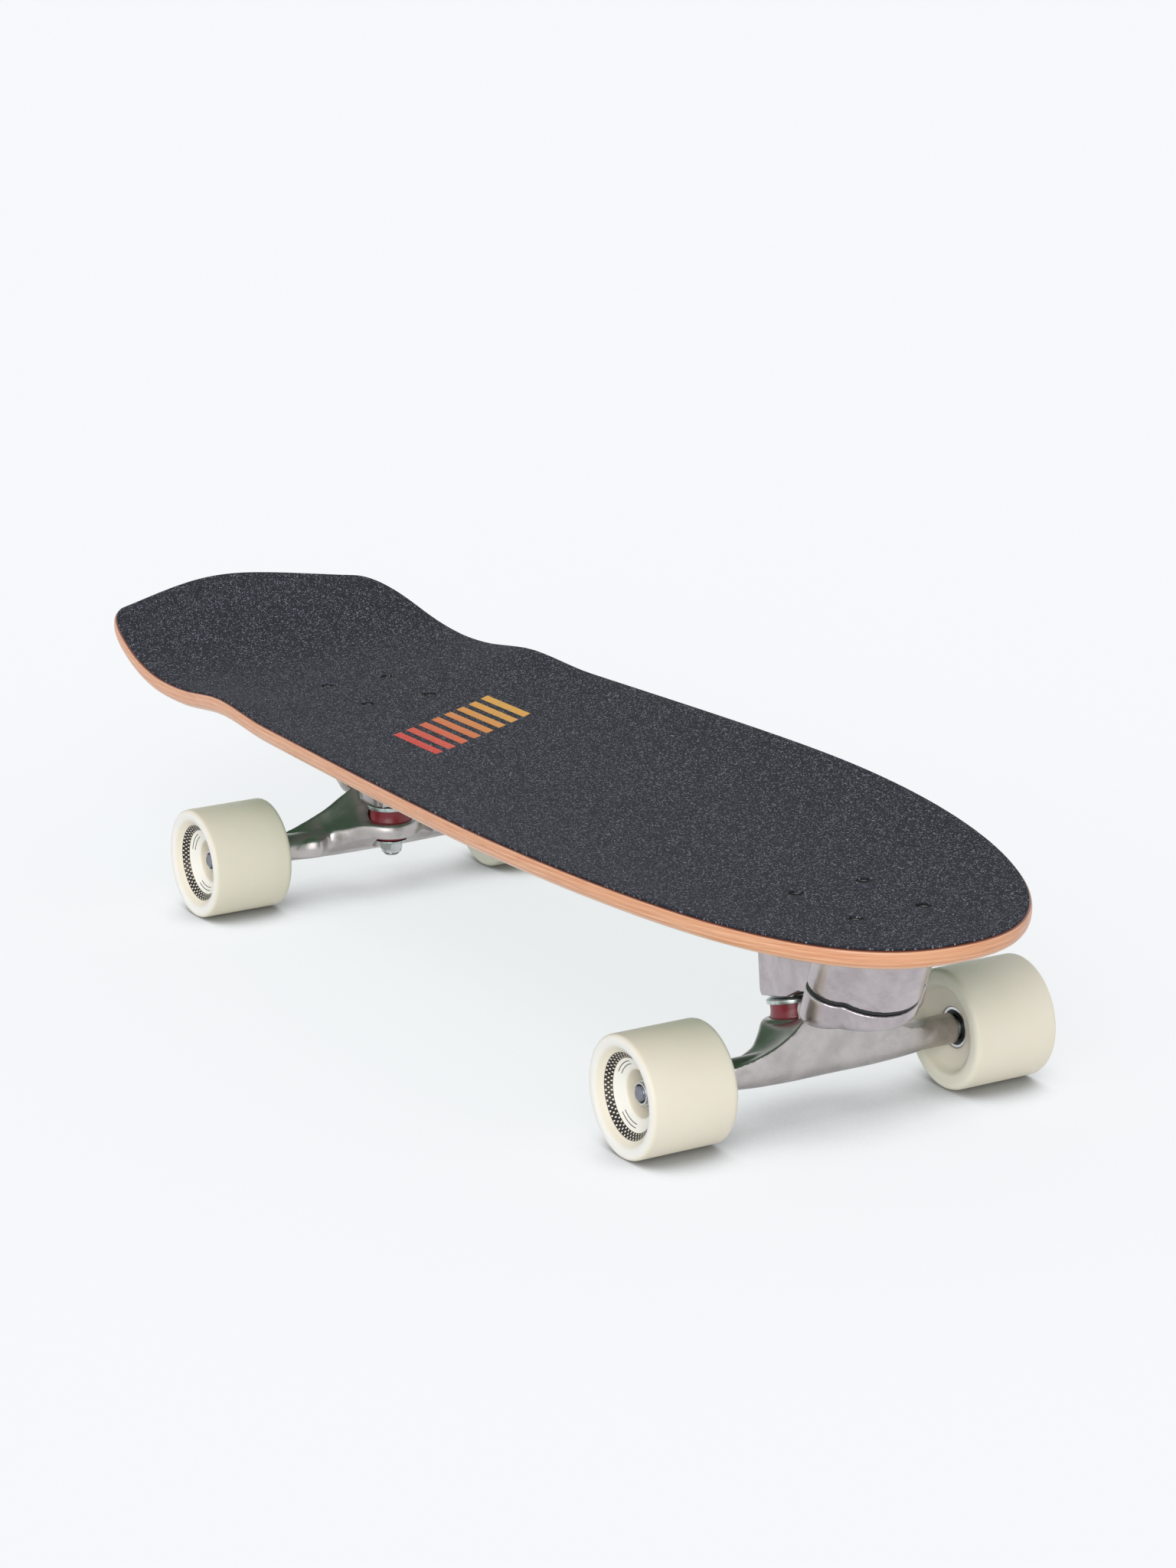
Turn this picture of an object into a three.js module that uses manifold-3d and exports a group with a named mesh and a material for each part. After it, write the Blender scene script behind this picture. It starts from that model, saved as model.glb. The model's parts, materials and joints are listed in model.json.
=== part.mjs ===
// A surf skateboard: a pressed maple deck on a spring-returned front steering truck and a plain rear truck.
// Millimetres. +X points to the nose, +Y to the rider's left, +Z up. The origin is on the floor, midway along.
import * as THREE from "three";
import { mergeVertices } from "three/addons/utils/BufferGeometryUtils.js";
import Module from "manifold-3d";

const wasm = await Module();
wasm.setup();

const DEG = Math.PI / 180;
const FIT = 0.3; // clearance between pieces that seat on each other

// ---- driving dimensions ----
const deck = {
  length: 833,
  halfWidth: 122.5,
  tailHalfWidth: 105.8,
  widestX: 116,
  thickness: 10,
  topZ: 123.3, // upper face of the wood along the flat centre strip
  flatHalfWidth: 24,
  concave: 0.00122, // rise per square millimetre outside the flat strip
  tailConcave: 0.00066,
  flareConcave: 0.00042, // extra rise of the rails over the rear wheels
  flareAhead: 13.3, // the flare's middle, ahead of the rear axle
  flareReach: 62,
  kickBehind: 66.7, // the kick's start, behind the rear axle
  kickBend: 60, // length over which the tail bends up
  kickSlope: 0.295,
  noseLength: 116.5, // the part of the nose that rises
  noseRise: 2,
};
const grip = { thickness: 0.9, inset: 1.5, gap: 0.2, holeR: 4.2 };
const boltPattern = { length: 53.98, width: 41.28, frontAhead: 30.8, rearAhead: 7.7 }; // ahead of each axle
const deckBolt = { r: 2.4, headR: 4.6, headHeight: 2.6, nutR: 5.2, nutHeight: 6, sunk: 0.7 };
const wheel = { r: 33, width: 51, lip: 5, inboardRecess: 7.8, bandR: 23, segments: 24 };
const bearing = { r: 11, width: 7, spacer: 5, speedRing: 1, shieldR: 6.7, innerR: 5.9, segments: 16 };
const axle = { r: 4, wheelbase: 499, noseGap: 124.8, end: 113.6, nutHeight: 6.4, nutR: 7.4 };
const hanger = { halfLength: 79.5, endR: 8.3, midR: 10.6, yokeR: 18, yokeLow: 4.5, yokeHigh: 14, finTop: 33, finHalf: 17 };
const kingpin = { r: 4.75, headR: 8, headHeight: 6, frontReach: 28, rearReach: 20, lowEnd: -6.8, headZ: 59 };
const bushing = { upperR: 13.4, upperTop: 12.7, upperHeight: 10.8, lowerR: 10.6, lowerTip: 9.2, lowerHeight: 5.6 };
const washer = { upperR: 14.2, lowerR: 9.6, thickness: 1.6 };
const seat = { upperDepth: 2.5, lowerDepth: 3, holeR: 8.5 };
const pivot = { angle: 30 * DEG, start: 26, bodyEnd: 38, noseR: 6.2, noseEnd: 50, cupR: 9.2, cupStart: 43, cupEnd: 54 };
const bossR = 14;
const towerLow = 25.4; // lower face of the kingpin tower, above the axle
const plate = { thickness: 6, halfWidth: 29, corner: 9, rearLength: 86, frontLength: 88 };
const swing = {
  tilt: 20 * DEG,
  ahead: 41.3, // of the front axle
  z: 82,
  housingR: 26.5,
  lobeR: 15.5,
  lobeX: -3,
  lobeY: 19,
  gap: 2.4, // between the base and the arm
  ringThickness: 1.8,
  ringInset: 1.3,
  ringHoleR: 18.4,
  cavityR: 16.6,
  cavityHeight: 19,
  recessDepth: 6,
  boltR: 6,
  boltDepth: 15,
  boltHeadR: 9.5,
  boltHeadHeight: 5.5,
  hubHeight: 5,
};
const spring = { coilR: 12.9, wireR: 2, turns: 4, legLength: 4.5 };
const arm = { bottomZ: 62.5, halfWidth: 14.5, blockRear: 12.5, blockTop: 97.5, archZ: 79 };

// ---- places that follow from the sizes ----
const axleZ = wheel.r * Math.cos(Math.PI / wheel.segments); // the wheels stand on a facet
const noseX = deck.length / 2;
const frontAxleX = noseX - axle.noseGap;
const rearAxleX = frontAxleX - axle.wheelbase;
const frontBoltX = frontAxleX + boltPattern.frontAhead;
const rearBoltX = rearAxleX + boltPattern.rearAhead;
const swingX = frontAxleX + swing.ahead;
const kickX = rearAxleX - deck.kickBehind;
const flareX = rearAxleX + deck.flareAhead;
const deckBottomZ = deck.topZ - deck.thickness;
const plateTopZ = deckBottomZ - FIT;
const plateLowZ = plateTopZ - plate.thickness;
const kickAngle = Math.atan(deck.kickSlope);
const yokeMidZ = (hanger.yokeLow + hanger.yokeHigh) / 2;
const bearingFaceY = hanger.halfLength + FIT + bearing.speedRing; // inboard face of the inboard bearing
const outboardFaceY = bearingFaceY + 2 * (bearing.width + bearing.spacer); // outboard face of the other one
const wheelInY = bearingFaceY - wheel.inboardRecess;
const wheelOutY = wheelInY + wheel.width;
const nutY = outboardFaceY + bearing.speedRing + FIT;

// ---- finishes ----
const finish = (color, roughness, metalness) => new THREE.MeshStandardMaterial({ color, roughness, metalness });
const maple = finish(0xc98a5c, 0.5, 0);
const gritPaper = finish(0x2b2d33, 0.95, 0);
const castAluminium = finish(0xb9b9be, 0.3, 1);
const zincSteel = finish(0xb7c0c2, 0.3, 1);
const blackSteel = finish(0x16171a, 0.45, 0.6);
const redUrethane = finish(0x9e1c22, 0.45, 0);
const creamUrethane = finish(0xece5cd, 0.4, 0);
const bearingSteel = finish(0xa8abb0, 0.25, 1);
const blackPolymer = finish(0x1d1e20, 0.6, 0);

// ---- tools ----
function toSolid(geometry) {
  const flat = geometry.index ? geometry.toNonIndexed() : geometry;
  const bare = new THREE.BufferGeometry().setAttribute("position", flat.getAttribute("position"));
  const merged = mergeVertices(bare, 1e-4);
  const corners = merged.index.array;
  const kept = [];
  for (let i = 0; i < corners.length; i += 3) {
    const [a, b, c] = [corners[i], corners[i + 1], corners[i + 2]];
    if (a !== b && b !== c && a !== c) kept.push(a, b, c);
  }
  const vertProperties = merged.attributes.position.array;
  return new wasm.Manifold(new wasm.Mesh({ numProp: 3, vertProperties, triVerts: new Uint32Array(kept) }));
}

function toGeometry(solid) {
  const { vertProperties, triVerts } = solid.getMesh();
  const geometry = new THREE.BufferGeometry();
  geometry.setAttribute("position", new THREE.BufferAttribute(new Float32Array(vertProperties), 3));
  geometry.setIndex(new THREE.BufferAttribute(new Uint32Array(triVerts), 1));
  const faceted = geometry.toNonIndexed();
  faceted.computeVertexNormals();
  return faceted;
}

const join = (...geometries) => toGeometry(geometries.map(toSolid).reduce((sum, next) => sum.add(next)));
const cut = (geometry, ...tools) =>
  toGeometry(tools.map(toSolid).reduce((rest, tool) => rest.subtract(tool), toSolid(geometry)));
const common = (a, b) => toGeometry(toSolid(a).intersect(toSolid(b)));
const clean = (geometry) => toGeometry(toSolid(geometry));

// A ring or turned piece about the Y axis; the profile is [radius, y] points, outer side upwards.
function turned(profile, segments = 24) {
  const points = profile.map(([r, y]) => new THREE.Vector2(r, y));
  if (profile[0][0] > 0) points.push(points[0].clone());
  return clean(new THREE.LatheGeometry(points, segments, Math.PI / segments));
}
const upright = (profile, segments) => turned(profile, segments).rotateX(Math.PI / 2);
const rod = (r, low, high, segments = 16) => upright(plug(r, low, high), segments);
const ring = (r, hole, low, high) => [[hole, high], [hole, low], [r, low], [r, high]];
const plug = (r, low, high) => [[0, low], [r, low], [r, high], [0, high]];
const hexNut = (r, hole, low, high) => cut(turned(plug(r, low, high), 6), turned(plug(hole, low - 1, high + 1), 12));

// A flat outline raised to a thickness along Z.
const raised = (shape, low, high, curveSegments = 8) =>
  new THREE.ExtrudeGeometry(shape, { depth: high - low, bevelEnabled: false, curveSegments }).translate(0, 0, low);

// An outline drawn in the XZ plane and given a width along Y.
const sideProfile = (shape, halfWidth, curveSegments = 6) =>
  raised(shape, -halfWidth, halfWidth, curveSegments).rotateX(Math.PI / 2);

function roundedRectangle(length, width, corner) {
  const [x, y, r] = [length / 2, width / 2, corner];
  const shape = new THREE.Shape();
  shape.absarc(x - r, y - r, r, 0, Math.PI / 2);
  shape.absarc(r - x, y - r, r, Math.PI / 2, Math.PI);
  shape.absarc(r - x, r - y, r, Math.PI, 1.5 * Math.PI);
  shape.absarc(x - r, r - y, r, 1.5 * Math.PI, 2 * Math.PI);
  return shape;
}

const root = new THREE.Group();
function add(parent, name, geometry, material) {
  const mesh = new THREE.Mesh(geometry, material);
  mesh.name = name;
  parent.add(mesh);
  return mesh;
}

// ---- deck and grip tape ----
const smooth = (t) => {
  const s = Math.min(1, Math.max(0, t));
  return s * s * (3 - 2 * s);
};
const endRise = (x) => {
  const d = Math.max(0, kickX - x);
  const bend = Math.min(d, deck.kickBend);
  const kick = deck.kickSlope * ((bend * bend) / (2 * deck.kickBend) + (d - bend));
  return kick + deck.noseRise * (Math.max(0, x - noseX + deck.noseLength) / deck.noseLength) ** 2;
};
const kickSlopeAt = (x) => deck.kickSlope * Math.min(1, Math.max(0, kickX - x) / deck.kickBend);
const concaveAt = (x) => {
  const towardTail = smooth((flareX - x) / (flareX - kickX));
  const flare = smooth(1 - Math.abs(x - flareX) / deck.flareReach);
  return deck.concave + (deck.tailConcave - deck.concave) * towardTail + deck.flareConcave * flare;
};
const topHeight = (x, y) => {
  const out = Math.max(0, Math.abs(y) - deck.flatHalfWidth);
  return deck.topZ + endRise(x) + concaveAt(x) * out * out;
};

// Half of the plan outline, from the tail's end to the nose's tip: four curves.
const tailX = -deck.length / 2 + (deck.thickness - 4) * Math.sin(kickAngle);
const bezier = (...points) => new THREE.CubicBezierCurve(...points.map(([x, y]) => new THREE.Vector2(x, y)));
const cornerPoint = [tailX + 27, 0.775 * deck.tailHalfWidth];
const outline = [
  [bezier([tailX, 0], [tailX, 28], [tailX + 14, 55], cornerPoint), 4],
  [bezier(cornerPoint, [tailX + 33.5, 96], [tailX + 60, 103.5], [tailX + 125, deck.tailHalfWidth]), 6],
  [bezier([tailX + 125, deck.tailHalfWidth], [-180, 106.5], [10, deck.halfWidth], [deck.widestX, deck.halfWidth]), 10],
  [bezier([deck.widestX, deck.halfWidth], [250, deck.halfWidth], [noseX, 94.5], [noseX, 0]), 11],
];
const stations = [];
outline.forEach(([curve, count], part) => {
  for (let i = part ? 1 : 0; i <= count; i++) {
    const place = curve.getPoint(i / count);
    const along = curve.getTangent(i / count);
    stations.push({ x: place.x, w: Math.max(0, place.y), nx: -along.y, ny: along.x });
  }
});

// A sheet that follows the deck's surface. Each rim entry is [inset, depth], from the top face round to the bottom.
function pressedSheet(rim, lift) {
  const shares = [1, 0.66, 0.33, 0];
  const across = [...shares.map((s) => [-1, s]), [0, 0], ...shares.toReversed().map((s) => [1, s])];
  const point = (station, inset, depth, side, share) => {
    const x = station.x - inset * station.nx;
    const w = Math.max(0, station.w - inset * station.ny);
    const flat = Math.min(deck.flatHalfWidth, 0.4 * w);
    const y = side * (flat + (w - flat) * share);
    const tilt = Math.atan(kickSlopeAt(x));
    return [x - depth * Math.sin(tilt), y, topHeight(x, y) + lift - depth * Math.cos(tilt)];
  };
  const loops = stations.map((station) => {
    const [top, ...rest] = rim;
    const bottom = rest.pop();
    return [
      ...across.map(([side, share]) => point(station, ...top, side, share)),
      ...rest.map((entry) => point(station, ...entry, 1, 1)),
      ...across.toReversed().map(([side, share]) => point(station, ...bottom, side, share)),
      ...rest.toReversed().map((entry) => point(station, ...entry, -1, 1)),
    ];
  });
  const count = loops[0].length;
  const wide = across.length;
  const positions = [];
  for (let j = 0; j + 1 < loops.length; j++) {
    for (let i = 0; i < count; i++) {
      const [a, b] = [loops[j][i], loops[j][(i + 1) % count]];
      const [c, d] = [loops[j + 1][i], loops[j + 1][(i + 1) % count]];
      const onTop = i < wide;
      const column = onTop ? i : 2 * wide + rim.length - 4 - i;
      const rightHalf = column < (wide - 1) / 2; // diagonals mirror left to right and match top to bottom
      const split = rightHalf === onTop ? [a, c, b, b, c, d] : [a, c, d, a, d, b];
      positions.push(...split.flat());
    }
  }
  const sheet = new THREE.BufferGeometry();
  sheet.setAttribute("position", new THREE.Float32BufferAttribute(positions, 3));
  return clean(sheet);
}

const boltPlaces = (centreX) =>
  [-1, 1].flatMap((i) => [-1, 1].map((j) => [centreX + (i * boltPattern.length) / 2, (j * boltPattern.width) / 2]));
const frontBolts = boltPlaces(frontBoltX);
const rearBolts = boltPlaces(rearBoltX);
const boltTopZ = deck.topZ - deckBolt.sunk;

function boltHoles(r, low, high, segments = 12) {
  return [...frontBolts, ...rearBolts].map(([x, y]) => rod(r, low, high, segments).translate(x, y, 0));
}
function makeDeck() {
  const t = deck.thickness;
  const blank = pressedSheet([[grip.inset, 0], [0, 2], [0.6, t - 3], [4.4, t]], 0);
  const sink = upright([[0, -4], [deckBolt.r + FIT, -4], [deckBolt.headR + 0.4, 0], [deckBolt.headR + 0.4, 4], [0, 4]], 12);
  const sinks = [...frontBolts, ...rearBolts].map(([x, y]) => sink.clone().translate(x, y, boltTopZ + FIT));
  return cut(blank, ...boltHoles(deckBolt.r + FIT, deckBottomZ - 3, deck.topZ + 3), ...sinks);
}
function makeGrip() {
  const { thickness, inset, gap } = grip;
  const sheet = pressedSheet([[inset, 0], [inset, thickness]], gap + thickness);
  return cut(sheet, ...boltHoles(grip.holeR, deck.topZ - 2, deck.topZ + 4));
}
add(root, "deck", makeDeck(), maple);
add(root, "grip_tape", makeGrip(), gritPaper);

// A countersunk deck bolt, with its lock nut under the baseplate where it has one.
function makeDeckBolt(withNut, lowZ) {
  const { r, headR, headHeight, nutR, nutHeight } = deckBolt;
  const shank = [[0, lowZ], [r, lowZ], [r, boltTopZ - headHeight], [headR, boltTopZ - 0.4], [headR, boltTopZ], [0, boltTopZ]];
  const body = cut(upright(shank, 12), rod(2, boltTopZ - 1.6, boltTopZ + 1, 6));
  const nutTop = plateLowZ - FIT;
  return withNut ? join(body, rod(nutR, nutTop - nutHeight, nutTop, 6)) : body;
}
const nutBoltLow = plateLowZ - deckBolt.nutHeight - 1.6;
const tappedBoltLow = plateLowZ - 11;
frontBolts.forEach(([x, y], i) => {
  const tapped = x > frontBoltX;
  const bolt = makeDeckBolt(!tapped, tapped ? tappedBoltLow : nutBoltLow);
  add(root, `front_deck_bolt_${i + 1}`, bolt, blackSteel).position.set(x, y, 0);
});
rearBolts.forEach(([x, y], i) => {
  add(root, `rear_deck_bolt_${i + 1}`, makeDeckBolt(true, nutBoltLow), blackSteel).position.set(x, y, 0);
});

// ---- trucks: a local frame at the middle of the axle, +X towards the kingpin, +Z up ----
function truckFrame(x, towardNose) {
  const frame = new THREE.Group();
  frame.position.set(x, 0, axleZ);
  frame.rotation.z = towardNose ? 0 : Math.PI;
  root.add(frame);
  return frame;
}
const frontTruck = truckFrame(frontAxleX, false);
const rearTruck = truckFrame(rearAxleX, true);

// Turned pieces on the steering axis, which climbs from the yoke's centre to the pivot cup.
const onSteeringAxis = (profile, reach, segments) =>
  turned(profile, segments)
    .rotateZ(Math.PI / 2)
    .rotateY(pivot.angle)
    .translate(reach, 0, yokeMidZ);

function makeHanger(reach) {
  const { halfLength, endR, midR, yokeR, yokeLow, yokeHigh, finTop, finHalf } = hanger;
  const housing = turned(
    [
      [0, -halfLength], [endR - 0.8, -halfLength], [endR, 0.8 - halfLength], [endR, -62], [midR, -30],
      [midR, 30], [endR, 62], [endR, halfLength - 0.8], [endR - 0.8, halfLength], [0, halfLength],
    ],
    20,
  );
  const facingAlong = (shape, back, front) => raised(shape, back, front, 7).rotateX(Math.PI / 2).rotateZ(Math.PI / 2);
  const fin = new THREE.Shape();
  fin.moveTo(-70, -4);
  fin.lineTo(70, -4);
  fin.lineTo(70, 4);
  fin.bezierCurveTo(36, 8, 28, 18, finHalf, finTop);
  fin.lineTo(-finHalf, finTop);
  fin.bezierCurveTo(-28, 18, -36, 8, -70, 4);
  const web = facingAlong(fin, -9, 2.5);
  const shoulders = new THREE.Shape();
  shoulders.moveTo(-58, -7);
  shoulders.quadraticCurveTo(-30, -5, -yokeR, yokeLow);
  shoulders.lineTo(yokeR, yokeLow);
  shoulders.quadraticCurveTo(30, -5, 58, -7);
  shoulders.lineTo(58, 5);
  shoulders.bezierCurveTo(38, 5.5, 29, 7, yokeR, yokeHigh);
  shoulders.lineTo(-yokeR, yokeHigh);
  shoulders.bezierCurveTo(-29, 7, -38, 5.5, -58, 5);
  const plan = new THREE.Shape();
  plan.absarc(reach, 0, yokeR, -Math.PI / 3, Math.PI / 3);
  plan.quadraticCurveTo(reach - 6, 24, 5, 57);
  plan.lineTo(-4, 57);
  plan.lineTo(-4, -57);
  plan.lineTo(5, -57);
  plan.quadraticCurveTo(reach - 6, -24, reach + yokeR / 2, -yokeR * Math.sin(Math.PI / 3));
  const yoke = common(raised(plan, -20, 30, 7), facingAlong(shoulders, -20, reach + 30));
  const noseCone = onSteeringAxis(
    [
      [0, pivot.start], [12, pivot.start], [10.5, pivot.bodyEnd], [pivot.noseR, pivot.bodyEnd + 4],
      [pivot.noseR, pivot.noseEnd - 4], [4.4, pivot.noseEnd - 1], [0, pivot.noseEnd],
    ],
    reach,
    16,
  );
  const upperSeat = rod(bushing.upperR + FIT, yokeHigh - seat.upperDepth, yokeHigh + 30, 20);
  const lowerSeat = rod(bushing.lowerR + 0.8, -20, yokeLow + seat.lowerDepth, 20);
  const hole = rod(seat.holeR, -20, 40, 20);
  const inPlace = (tool) => tool.translate(reach, 0, 0);
  const axleBore = turned([[0, -200], [axle.r + FIT, -200], [axle.r + FIT, 200], [0, 200]], 12);
  const relief = onSteeringAxis(plug(bossR + 1.5, pivot.cupStart - 1.5, 70), reach, 20);
  const body = join(cut(join(housing, web, yoke), relief), noseCone);
  return cut(body, inPlace(upperSeat), inPlace(lowerSeat), inPlace(hole), axleBore);
}

// Pieces stacked on the kingpin, listed from the nut up. They stay with whatever carries the truck.
function addKingpinStack(name, frame, reach) {
  const upperLow = hanger.yokeHigh - seat.upperDepth + FIT;
  const upperHigh = upperLow + bushing.upperHeight;
  const lowerHigh = hanger.yokeLow + seat.lowerDepth - FIT;
  const lowerLow = lowerHigh - bushing.lowerHeight;
  const hole = kingpin.r + FIT;
  const place = (label, geometry, material) => add(frame, `${name}_${label}`, geometry, material).position.set(reach, 0, 0);
  const nutHigh = lowerLow - washer.thickness - 2 * FIT;
  const nutLow = nutHigh - 6;
  place("kingpin_nut", hexNut(7.6, hole, nutLow, nutHigh).rotateX(Math.PI / 2), zincSteel);
  const cupLow = nutHigh + FIT;
  place(
    "lower_washer",
    upright([[hole, cupLow], [washer.lowerR - 1.6, cupLow], [washer.lowerR, cupLow + 0.6], [washer.lowerR, cupLow + washer.thickness], [hole, cupLow + washer.thickness]], 20),
    zincSteel,
  );
  place(
    "lower_bushing",
    upright([[hole, lowerLow], [bushing.lowerTip, lowerLow], [bushing.lowerR, lowerHigh], [hole, lowerHigh]], 20),
    redUrethane,
  );
  const waist = (upperLow + upperHigh) / 2;
  place(
    "upper_bushing",
    upright(
      [
        [hole, upperLow], [bushing.upperR, upperLow], [bushing.upperR, upperLow + 2.4],
        [bushing.upperTop, waist], [bushing.upperTop, upperHigh], [hole, upperHigh],
      ],
      20,
    ),
    redUrethane,
  );
  const lidLow = upperHigh + FIT;
  const lip = bushing.upperTop + 0.5;
  place(
    "upper_washer",
    upright(
      [
        [hole, lidLow], [lip, lidLow], [lip, lidLow - 1.6], [washer.upperR, lidLow - 1.6],
        [washer.upperR, lidLow + 0.4], [washer.upperR - 1.2, lidLow + washer.thickness], [hole, lidLow + washer.thickness],
      ],
      20,
    ),
    zincSteel,
  );
  const { r, headR, headHeight, lowEnd, headZ } = kingpin;
  const shank = rod(r, nutLow - 2, headZ + 1, 12);
  place("kingpin", join(shank, rod(headR, headZ, headZ + headHeight, 6)), zincSteel);
  const { cupR, cupStart, cupEnd, noseR, noseEnd } = pivot;
  const cup = onSteeringAxis(
    [[0, noseEnd + 0.6], [4.8, noseEnd - 0.5], [noseR + FIT, noseEnd - 3.5], [noseR + FIT, cupStart], [cupR, cupStart], [cupR, cupEnd], [0, cupEnd]],
    reach,
    16,
  );
  add(frame, `${name}_pivot_cup`, cup, blackPolymer);
}
const pivotBore = (reach) =>
  onSteeringAxis([[0, 30], [pivot.cupR + FIT, 30], [pivot.cupR + FIT, pivot.cupEnd + FIT], [0, pivot.cupEnd + FIT]], reach, 16);
const pivotBoss = (reach) =>
  onSteeringAxis([[0, pivot.cupStart], [bossR - 1, pivot.cupStart], [bossR, pivot.cupStart + 1], [bossR, 60], [bossR - 2, 62], [0, 62]], reach, 20);
function kingpinBores(reach, topZ) {
  const shank = rod(kingpin.r + FIT, 0, topZ, 12).translate(reach, 0, 0);
  const head = rod(kingpin.headR + FIT, kingpin.headZ - FIT, topZ, 6).translate(reach, 0, 0);
  return [shank, head];
}

// Axle, nuts, bearings and wheels. The wheel bodies turn; the inner rings stay on the axle.
function addRunningGear(name, frame, flip) {
  add(frame, `${name}_axle`, turned([[0, -axle.end], [3.4, -axle.end], [axle.r, 0.8 - axle.end], [axle.r, axle.end - 0.8], [3.4, axle.end], [0, axle.end]], 12), zincSteel);
  for (const side of [1, -1]) {
    const label = side * flip > 0 ? "left" : "right";
    const mirrored = (profile) => (side > 0 ? profile : profile.map(([r, y]) => [r, -y]).toReversed());
    const hole = axle.r + FIT;
    const nutEnds = [side * nutY, side * (nutY + axle.nutHeight)].sort((a, b) => a - b);
    add(frame, `${name}_${label}_axle_nut`, hexNut(axle.nutR, hole, ...nutEnds), zincSteel);
    add(frame, `${name}_${label}_wheel`, turned(mirrored(wheelProfile()), wheel.segments), creamUrethane);
    const faces = { inboard: bearingFaceY, outboard: outboardFaceY - bearing.width };
    for (const [where, y] of Object.entries(faces)) {
      add(frame, `${name}_${label}_${where}_bearing_outer_ring`, turned(mirrored(outerRing(y)), bearing.segments), bearingSteel);
      const inner = turned(mirrored(innerRing(y, where === "inboard")), 12);
      add(frame, `${name}_${label}_${where}_bearing_inner_ring`, inner, bearingSteel);
    }
  }
}
function outerRing(y) {
  const { r, width, shieldR } = bearing;
  return [
    [9.2, y + width - 1.2], [9.2, y + 1.2], [shieldR, y + 1.2], [shieldR, y],
    [r, y], [r, y + width], [shieldR, y + width], [shieldR, y + width - 1.2],
  ];
}
// An inner ring with its built-in half spacer on one side and its speed ring on the other.
function innerRing(y, inboard) {
  const { width, spacer, speedRing, innerR } = bearing;
  const hole = axle.r + FIT;
  const [before, after] = inboard ? [speedRing, spacer - FIT / 2] : [spacer - FIT / 2, speedRing];
  return [
    [hole, y + width + after], [hole, y - before], [innerR - 0.6, y - before],
    [innerR, y], [innerR, y + width], [innerR - 0.6, y + width + after],
  ];
}
function wheelProfile() {
  const { r, lip, bandR } = wheel;
  const [inY, outY] = [wheelInY, wheelOutY];
  const seatR = bearing.r + FIT;
  const seatIn = bearingFaceY + bearing.width + FIT;
  const seatOut = outboardFaceY - bearing.width - FIT;
  const arc = (cx, cy, from, to) => [0, 1, 2].map((i) => {
    const a = (from + ((to - from) * i) / 2) * DEG;
    return [cx + lip * Math.cos(a), cy + lip * Math.sin(a)];
  });
  return [
    [seatR, seatOut], [9.6, seatOut], [9.6, seatIn], [seatR, seatIn], [seatR, bearingFaceY - 0.5],
    [22, inY + 2.6], [24.5, inY],
    ...arc(r - lip, inY + lip, -90, 0),
    ...arc(r - lip, outY - lip, 0, 90),
    [26.6, outY - 0.5], [bandR, outY - 5], [15, outY - 7.2], [seatR, outY - 13.5],
  ];
}

const frontHanger = add(frontTruck, "front_hanger", makeHanger(kingpin.frontReach), castAluminium);
add(rearTruck, "rear_hanger", makeHanger(kingpin.rearReach), castAluminium);
addKingpinStack("front", frontTruck, kingpin.frontReach);
addKingpinStack("rear", rearTruck, kingpin.rearReach);
addRunningGear("front", frontTruck, -1);
addRunningGear("rear", rearTruck, 1);

// ---- rear baseplate: plate, hollow kingpin tower and pivot boss ----
const mountingPlate = (length, x) =>
  raised(roundedRectangle(length, 2 * plate.halfWidth, plate.corner), plateLowZ, plateTopZ, 3).translate(x, 0, 0);
const boltClearance = (places) => places.map(([x, y]) => rod(deckBolt.r + FIT, plateLowZ - 5, 130, 12).translate(x, y, 0));

function makeRearBaseplate() {
  const reach = kingpin.rearReach;
  const top = plateLowZ + 1 - axleZ;
  const side = new THREE.Shape();
  side.moveTo(reach + 15, towerLow);
  side.lineTo(reach + 20, top);
  side.lineTo(-34, top);
  side.quadraticCurveTo(-36, 50, -27.5, 39);
  side.lineTo(-12, 47);
  side.quadraticCurveTo(reach - 16, 47, reach - 14.5, towerLow + 8);
  side.lineTo(reach - 14.5, towerLow);
  const web = sideProfile(side, 13);
  const block = raised(roundedRectangle(31, 31, 10), towerLow, top, 3).translate(reach, 0, 0);
  const solid = join(web, block, pivotBoss(reach));
  const pockets = [-1, 1].map((s) =>
    sideProfile(pocketShape(top), 5).translate(0, s * 12, 0),
  );
  const tower = cut(solid, ...kingpinBores(reach, 90), pivotBore(reach), ...pockets);
  const placed = tower.translate(rearAxleX, 0, axleZ);
  const head = rod(kingpin.headR + FIT, plateLowZ - 20, 130, 6).translate(rearAxleX + reach, 0, 0);
  return cut(join(mountingPlate(plate.rearLength, rearBoltX), placed), head, ...boltClearance(rearBolts));
}
function pocketShape(top) {
  const shape = new THREE.Shape();
  shape.moveTo(-26, top - 7);
  shape.lineTo(2, top - 7);
  shape.lineTo(-2, 53);
  shape.lineTo(-24, 53);
  return shape;
}
add(root, "rear_baseplate", makeRearBaseplate(), castAluminium);

// ---- front steering unit: a frame on the swing axis, +Z up along it, +X forward ----
const swingFrame = new THREE.Group();
swingFrame.position.set(swingX, 0, swing.z);
swingFrame.rotation.y = swing.tilt;
root.add(swingFrame);
const toRow = (geometry) => geometry.rotateY(swing.tilt).translate(swingX, 0, swing.z);
const toSwing = (geometry) => geometry.translate(-swingX, 0, -swing.z).rotateY(-swing.tilt);
const fromFront = (geometry) => geometry.rotateZ(Math.PI).translate(frontAxleX, 0, axleZ);

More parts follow.
